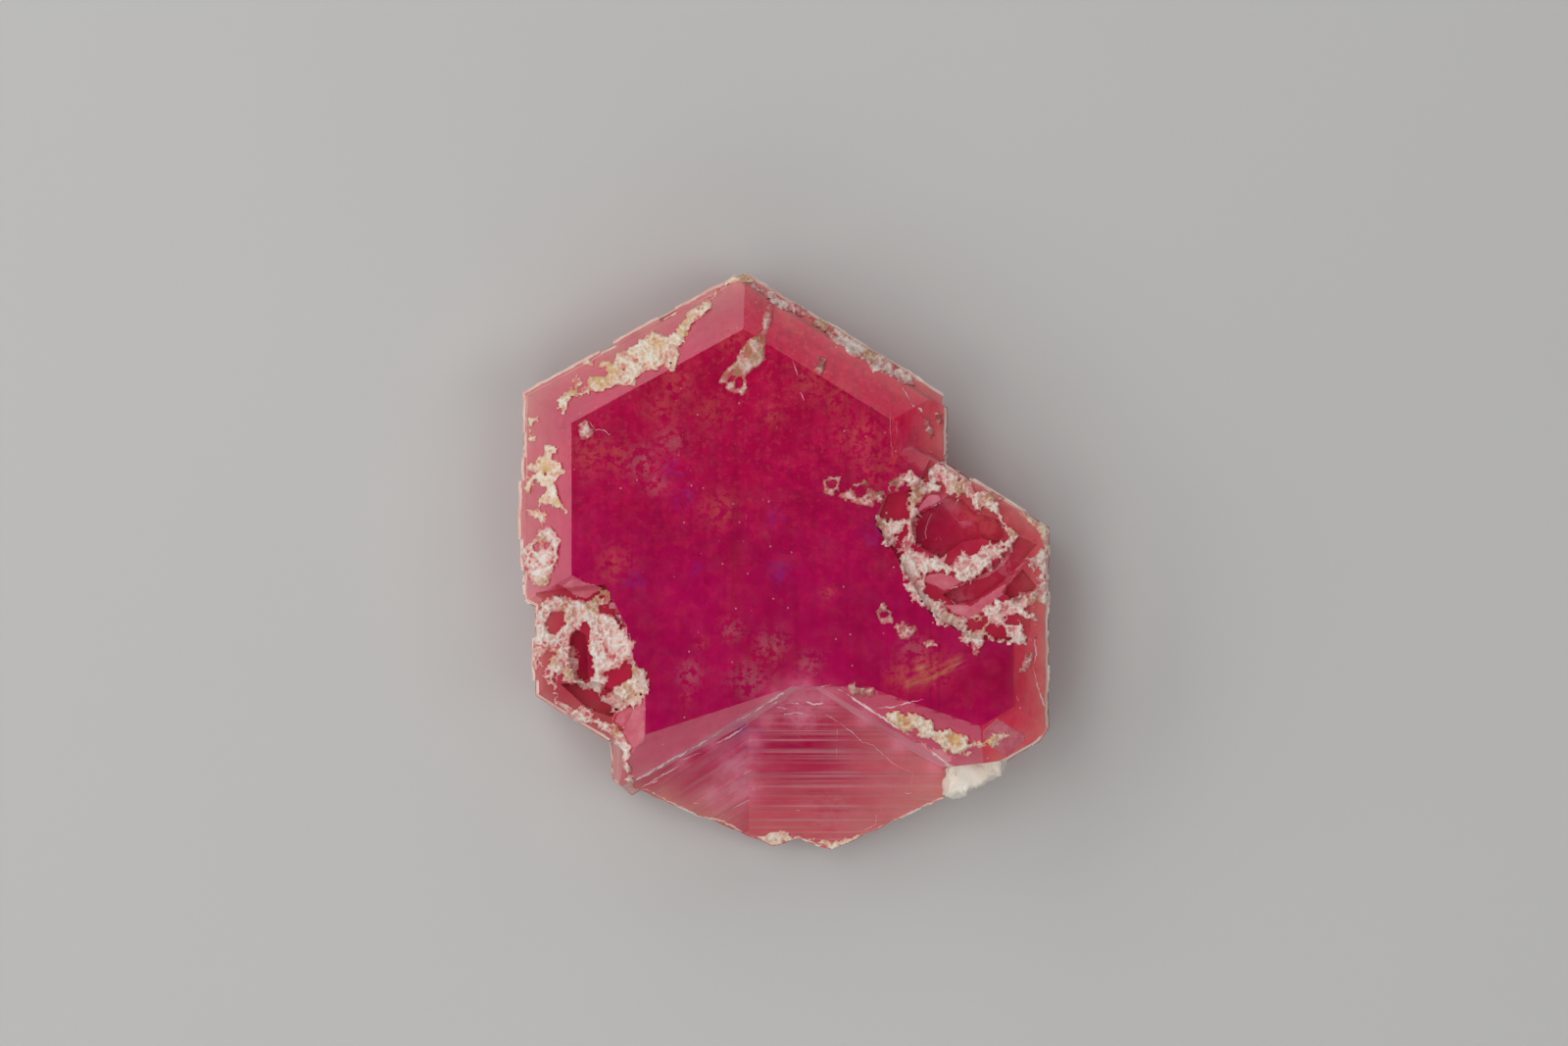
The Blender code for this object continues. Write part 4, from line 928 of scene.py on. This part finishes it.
class Shading:
    """A new node material. Each call adds a node and gives the output that the next call can use."""

    def __init__(self, name):
        self.material = bpy.data.materials.new(name)
        self.material.use_nodes = True
        self.nodes = self.material.node_tree.nodes
        self.shader = self.nodes["Principled BSDF"]
        self.place = self.add("ShaderNodeTexCoord").outputs["Object"]

    def feed(self, value, socket):
        """Links an output to a socket, or writes a number or a colour into it."""
        if isinstance(value, bpy.types.NodeSocket):
            self.material.node_tree.links.new(value, socket)
        elif socket.type == "RGBA":
            socket.default_value = (*value, 1.0)
        else:
            socket.default_value = value

    def fill(self, node, **inputs):
        """Fills in a node's inputs by their names, with underscores for spaces."""
        for name, value in inputs.items():
            self.feed(value, node.inputs[name.replace("_", " ")])

    def add(self, kind, settings=None, **inputs):
        """A new node with some of its settings and inputs filled in."""
        node = self.nodes.new(kind)
        for name, value in (settings or {}).items():
            setattr(node, name, value)
        self.fill(node, **inputs)
        return node

    def attribute(self, name, output="Fac"):
        return self.add("ShaderNodeAttribute", {"attribute_name": name}).outputs[output]

    def stretched(self, stretch, turn, stretch_along=1.0):
        """The place drawn out along X, and along Y too, after a turn about Z in degrees."""
        return self.add("ShaderNodeMapping", {"vector_type": "TEXTURE"}, Vector=self.place,
                        Scale=(stretch, stretch_along, 1.0),
                        Rotation=(0.0, 0.0, math.radians(turn))).outputs["Vector"]

    def noise(self, scale, detail, roughness=0.55, place=None):
        return self.add("ShaderNodeTexNoise", Vector=place or self.place, Scale=scale, Detail=detail,
                        Roughness=roughness).outputs["Fac"]

    def streaks(self, scale, stretch, turn, detail=3):
        return self.noise(scale, detail, place=self.stretched(stretch, turn))

    def cells(self, scale, output):
        return self.add("ShaderNodeTexVoronoi", Vector=self.place, Scale=scale).outputs[output]

    def remap(self, value, low, high, new_low=0.0, new_high=1.0):
        return self.add("ShaderNodeMapRange", Value=value, From_Min=low, From_Max=high, To_Min=new_low,
                        To_Max=new_high).outputs["Result"]

    def combine(self, operation, first, second):
        node = self.add("ShaderNodeMath", {"operation": operation})
        self.feed(first, node.inputs[0])
        self.feed(second, node.inputs[1])
        return node.outputs["Value"]

    def multiply(self, first, *others):
        for other in others:
            first = self.combine("MULTIPLY", first, other)
        return first

    def mix(self, share, first, second):
        """The first colour with a share of the second over it."""
        node = self.add("ShaderNodeMix", {"data_type": "RGBA"})
        first_colour, second_colour = [socket for socket in node.inputs if socket.type == "RGBA"]
        self.feed(share, node.inputs[0])
        self.feed(first, first_colour)
        self.feed(second, second_colour)
        return [socket for socket in node.outputs if socket.type == "RGBA"][0]

    def tinted(self, colour, layers):
        """The colour with layers over it, each with where it shows, its strength and its colour."""
        for share, strength, tint in layers:
            colour = self.mix(self.multiply(share, strength), colour, tint)
        return colour

    def bumped(self, height, strength, distance):
        """A relief for the shader's normal."""
        bump = self.add("ShaderNodeBump", Height=height, Strength=strength, Distance=distance)
        return bump.outputs["Normal"]

    def height_colours(self, value, colours):
        """Runs through the colours from low to high values."""
        ramp = self.add("ShaderNodeValToRGB", Fac=value)
        stops = ramp.color_ramp.elements
        while len(stops) < len(colours):
            stops.new(0.5)
        for stop, (place, colour) in zip(stops, colours):
            stop.position = place
            stop.color = (*colour, 1.0)
        return ramp.outputs["Color"]


def cloud_layers(look, height):
    """Clouds, veils, grain, seams and sparks inside the crystal."""
    cloudiness = look.attribute("cloudiness")

    def patches(scale, detail, low, high, roughness=0.6):
        return look.multiply(look.remap(look.noise(scale, detail, roughness), low, high), cloudiness)

    upper = look.remap(height.outputs["Y"], -0.002, 0.018)
    calm = look.remap(height.outputs["Y"], -0.012, 0.01, 0.35, 1.0)
    mottle = look.remap(look.noise(1500, 5, 0.65), 0.46, 0.53)
    fibres = look.remap(look.streaks(2600, 7, 22, 5), 0.4, 0.62)
    veils = look.remap(look.cells(620, "Color"), 0.78, 0.95)
    grain = look.remap(look.streaks(1900, 22, 90), 0.48, 0.72)
    seams = look.remap(look.streaks(900, 45, 90, 4), 0.56, 0.64)
    sparks = look.remap(look.cells(800, "Distance"), 0.07, 0.03)
    return [
        (look.multiply(upper, cloudiness), 0.8, TINTS["upper_half"]),
        (look.attribute("dark"), 0.75, TINTS["dark_spot"]),
        (patches(170, 7, 0.54, 0.68, 0.7), 0.35, TINTS["cloud"]),
        (look.multiply(calm, patches(900, 6, 0.52, 0.57)), 0.45, TINTS["bright_mottle"]),
        (look.multiply(calm, patches(1300, 5, 0.54, 0.6)), 0.4, TINTS["deep_mottle"]),
        (look.multiply(upper, patches(2100, 4, 0.56, 0.62)), 0.4, TINTS["orange_mottle"]),
        (look.multiply(look.attribute("warm"), mottle), 0.85, TINTS["warm_spot"]),
        (look.multiply(look.attribute("pink"), mottle), 0.8, TINTS["pink_spot"]),
        (look.multiply(look.attribute("violet"), mottle), 0.7, TINTS["violet_spot"]),
        (look.multiply(look.attribute("amber"), fibres), 0.95, TINTS["amber_fibre"]),
        (look.multiply(veils, patches(330, 5, 0.47, 0.6)), 0.3, TINTS["veil"]),
        (look.multiply(grain, cloudiness), 0.35, TINTS["grain"]),
        (patches(2300, 6, 0.55, 0.63, 0.7), 0.3, TINTS["fine_grain"]),
        (look.multiply(seams, patches(140, 3, 0.45, 0.6)), 0.35, TINTS["seam"]),
        (look.multiply(sparks, cloudiness), 0.9, TINTS["spark"]),
    ]


def striation_layers(look, height):
    """Dark grooves and broken bright lines on the striated facets, with painted light: a paler glow
    downwards towards the thin edge and a paler sheen to the right.
    """
    layers = []
    # Painted glow downwards and painted sheen to the right
    lower = look.remap(height.outputs["Y"], -0.0155, -0.0215)
    rightward_sheen = look.remap(height.outputs["X"], 0.003, 0.011)
    for name, turn in STRIATIONS.items():
        lines = look.attribute(name)
        dark = look.remap(look.streaks(1500, 140, turn, 3), 0.52, 0.62)
        bright = look.remap(look.streaks(3600, 110, turn, 5), 0.52, 0.64)
        broken = look.remap(look.noise(160, 3), 0.38, 0.6, 0.25, 1.0)
        layers += [
            (look.multiply(dark, lines), 0.65, TINTS["groove"]),
            (look.multiply(lower, lines), 0.6, TINTS["lower_painted_glow"]),
            (look.multiply(rightward_sheen, lines), 0.72, TINTS["right_painted_sheen"]),
            (look.multiply(bright, broken, lines), 0.55, TINTS["bright_line"]),
        ]
    return layers


def edge_layers(look):
    """Milky wisps, the painted glow of light through the thin rim in salmon, and worn places in growth
    layers.
    """
    wisps = look.remap(look.noise(700, 7, 0.7), 0.36, 0.6, 0.35, 1.0)
    ragged = look.remap(look.noise(420, 4), 0.3, 0.65, 0.45, 1.0)
    edge = look.remap(look.attribute("rim"), 0.12, 1.0)
    scuffs = look.remap(look.noise(2600, 6, place=look.stretched(9.0, 0.0, 9.0)), 0.42, 0.62)
    return [
        (look.multiply(look.attribute("haze"), wisps), 0.8, TINTS["haze"]),
        # Painted glow of light through the thin rim, in salmon
        (look.multiply(edge, ragged), 0.85, TINTS["rim"]),
        (look.multiply(scuffs, look.attribute("wear")), 0.95, TINTS["scuff"]),
    ]


def crystal_material():
    """Deep raspberry, clear in part, with orange and purple clouds, paler lines, rims with a painted glow
    of light through the thin crystal, and scuffs.
    """
    look = Shading("raspberry_crystal")
    height = look.add("ShaderNodeSeparateXYZ", Vector=look.place)
    colour = look.attribute("tint", "Color")
    for layers in (cloud_layers(look, height), striation_layers(look, height), edge_layers(look)):
        colour = look.tinted(colour, layers)
    uneven = look.remap(look.noise(230, 5), 0.35, 0.65, 1.1, 0.8)
    milky = look.remap(look.attribute("haze"), 0.0, 0.8, 1.0, 0.3)
    clearness = look.multiply(uneven, look.attribute("clearness"), milky)
    gloss = look.remap(look.noise(700, 4), 0.3, 0.7, 0.06, 0.2)
    relief = look.noise(1600, 6)
    for name, turn in STRIATIONS.items():
        lines = look.multiply(look.streaks(2600, 60, turn), look.attribute(name), 2.0)
        relief = look.combine("ADD", relief, lines)
    look.fill(look.shader, Base_Color=colour, Transmission_Weight=clearness, Roughness=gloss,
              IOR=REFRACTION, Normal=look.bumped(relief, 0.12, 0.00007))
    absorption = look.add("ShaderNodeVolumeAbsorption", Density=BODY_DENSITY, Color=BODY_COLOUR)
    look.fill(look.nodes["Material Output"], Volume=absorption.outputs["Volume"])
    return look.material


def crust_material(name, colours, rust, rust_share):
    """Dull grains, coloured from the clefts between them up to their crowns, with rust stains."""
    look = Shading(name)
    fleck = look.remap(look.noise(1900, 6, 0.7), 0.3, 0.7, -0.14, 0.14)
    colour = look.height_colours(look.combine("ADD", look.attribute("crown"), fleck), colours)
    broken = look.remap(look.noise(1500, 6, 0.75), 0.4, 0.56)
    stains = look.remap(look.attribute("stain"), 0.05, 0.7, 0.16, 1.0)
    look.fill(look.shader, Base_Color=look.mix(look.multiply(stains, broken, rust_share), colour, rust),
              Roughness=look.remap(fleck, -0.14, 0.14, 0.35, 0.7),
              Normal=look.bumped(look.noise(6500, 5), 0.4, 0.00005))
    return look.material


def line_material(name, light, dark):
    look = Shading(name)
    patches = look.remap(look.noise(900, 5), 0.35, 0.62)
    look.fill(look.shader, Base_Color=look.mix(patches, light, dark),
              Roughness=look.remap(patches, 0.0, 1.0, 0.3, 0.6))
    return look.material


def floor_material():
    look = Shading("pale_floor")
    look.fill(look.shader, Base_Color=look.mix(look.noise(9, 4), *FLOOR_COLOURS), Roughness=0.7)
    return look.material


def chip_points(outline):
    """Rings of the chip's outline, drawn in to the centre above and below, then roughened."""
    centre = sum(outline, Vector((0.0, 0.0))) / len(outline)
    middle = (CHIP_TOP + CHIP_BOTTOM) / 2.0
    half = (CHIP_TOP - CHIP_BOTTOM) / 2.0
    points = []
    for ring in range(1, CHIP_RINGS):
        turn = math.pi * (ring / CHIP_RINGS - 0.5)
        reach = math.cos(turn) ** (CHIP_UPPER_ROUNDING if turn > 0.0 else CHIP_LOWER_ROUNDING)
        height = middle + half * math.copysign(abs(math.sin(turn)) ** CHIP_CROWN_ROUNDING, turn)
        points += [(*(centre + (spot - centre) * reach), height) for spot in outline]
    points = np.array(points)
    slant_x = points[:, 0] + 0.5 * points[:, 2]
    slant_y = points[:, 1] - 0.7 * points[:, 2]
    points[:, 2] += CHIP_BUMPS * layered_noise(points[:, 0], points[:, 1], 1.1, 11)
    points[:, 0] += CHIP_BREAKS * layered_noise(slant_x, slant_y, 1.6, 12, 5)
    points[:, 1] += CHIP_BREAKS * layered_noise(slant_x, slant_y, 1.6, 13, 5)
    return points


def build_chip(material):
    """The rock chip, skinned ring by ring."""
    outline = [spot for spot, _ in resampled(CHIP_OUTLINE + CHIP_OUTLINE[:1], CHIP_STEP)][:-1]
    points = chip_points(outline)
    chip_mesh = bmesh.new()
    vertices = [chip_mesh.verts.new(Vector(point) * MM) for point in points.tolist()]
    count = len(outline)
    rows = [vertices[start:start + count] for start in range(0, len(vertices), count)]
    for lower, upper in zip(rows, rows[1:]):
        for corner in range(count):
            chip_mesh.faces.new((lower[corner - 1], lower[corner], upper[corner], upper[corner - 1]))
    for row in (rows[0], rows[-1]):
        chip_mesh.faces.new(row)
    mesh = mesh_from(chip_mesh, "rock_chip")
    mesh.shade_smooth()
    tilted = points[:, 1] + CHIP_TILT * points[:, 2]
    store_values(mesh, "crown", "POINT", 0.75 + 0.3 * layered_noise(points[:, 0], tilted, 1.3, 14))
    piece = new_piece("rock_chip", mesh, material)
    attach(piece, "root")
    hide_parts("matrix_chip")


def build_floor():
    bpy.ops.mesh.primitive_plane_add(size=FLOOR_SIZE * MM, location=(0.0, 0.0, -FLOOR_DROP * MM))
    floor = bpy.context.object
    floor.name = "floor"
    floor.data.materials.append(floor_material())


def add_softbox(name, azimuth, elevation, distance, width, height, radiance):
    """A rectangular light that looks at the crystal; radiance is how bright its face is."""
    light = bpy.data.lights.new(name, "AREA")
    light.shape = "RECTANGLE"
    light.size = width
    light.size_y = height
    light.energy = radiance * math.pi * width * height
    lamp = bpy.data.objects.new(name, light)
    turn = math.radians(azimuth)
    rise = math.radians(elevation)
    away = Vector((math.cos(rise) * math.cos(turn), math.cos(rise) * math.sin(turn), math.sin(rise)))
    lamp.location = away * distance
    lamp.rotation_euler = away.to_track_quat("Z", "Y").to_euler()
    bpy.context.scene.collection.objects.link(lamp)


def add_lights():
    for softbox in SOFTBOXES:
        add_softbox(*softbox)
    world = bpy.data.worlds.new("studio")
    world.use_nodes = True
    background = world.node_tree.nodes["Background"]
    background.inputs["Color"].default_value = (1.0, 1.0, 1.0, 1.0)
    background.inputs["Strength"].default_value = WORLD_STRENGTH
    bpy.context.scene.world = world


def add_camera():
    camera_data = bpy.data.cameras.new("camera")
    camera_data.lens = LENS
    camera_data.sensor_width = SENSOR
    camera_data.clip_start = 0.01
    camera = bpy.data.objects.new("camera", camera_data)
    distance = VIEW_WIDTH * LENS / SENSOR
    camera.location = (0.0, VIEW_CENTRE_Y * MM, (TOP_FACE + distance) * MM)
    bpy.context.scene.collection.objects.link(camera)
    bpy.context.scene.camera = camera


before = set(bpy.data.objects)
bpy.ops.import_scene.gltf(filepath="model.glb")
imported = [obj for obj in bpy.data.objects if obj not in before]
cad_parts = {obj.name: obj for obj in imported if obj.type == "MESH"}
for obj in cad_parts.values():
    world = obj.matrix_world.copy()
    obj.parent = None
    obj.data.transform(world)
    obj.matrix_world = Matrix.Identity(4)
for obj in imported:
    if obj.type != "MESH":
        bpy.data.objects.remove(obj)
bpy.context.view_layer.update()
crystal = build_crystal(crystal_material())
crystal_tree = BVHTree.FromPolygons([vertex.co for vertex in crystal.data.vertices],
                                    [face.vertices for face in crystal.data.polygons])
crust_materials = {key: crust_material(*look) for key, look in CRUST_LOOKS.items()}
for number, patch in enumerate(CRUST_PATCHES):
    build_crust(patch, 100 + number * 37, crystal_tree, crust_materials)
for name, colours in LINE_COLOURS.items():
    build_lines(name + "_lines", SURFACE_LINES[name], 5, crystal_tree,
                line_material(name + "_line", *colours))
build_lines("rim_line", [(RIM_LINE_WIDTH, rim_route())], 9, crystal_tree,
            line_material("rim_line", *RIM_LINE_COLOURS))
build_chip(crust_material(*ROCK_LOOK))
build_floor()
add_lights()
add_camera()
bpy.context.scene.view_settings.view_transform = "Standard"
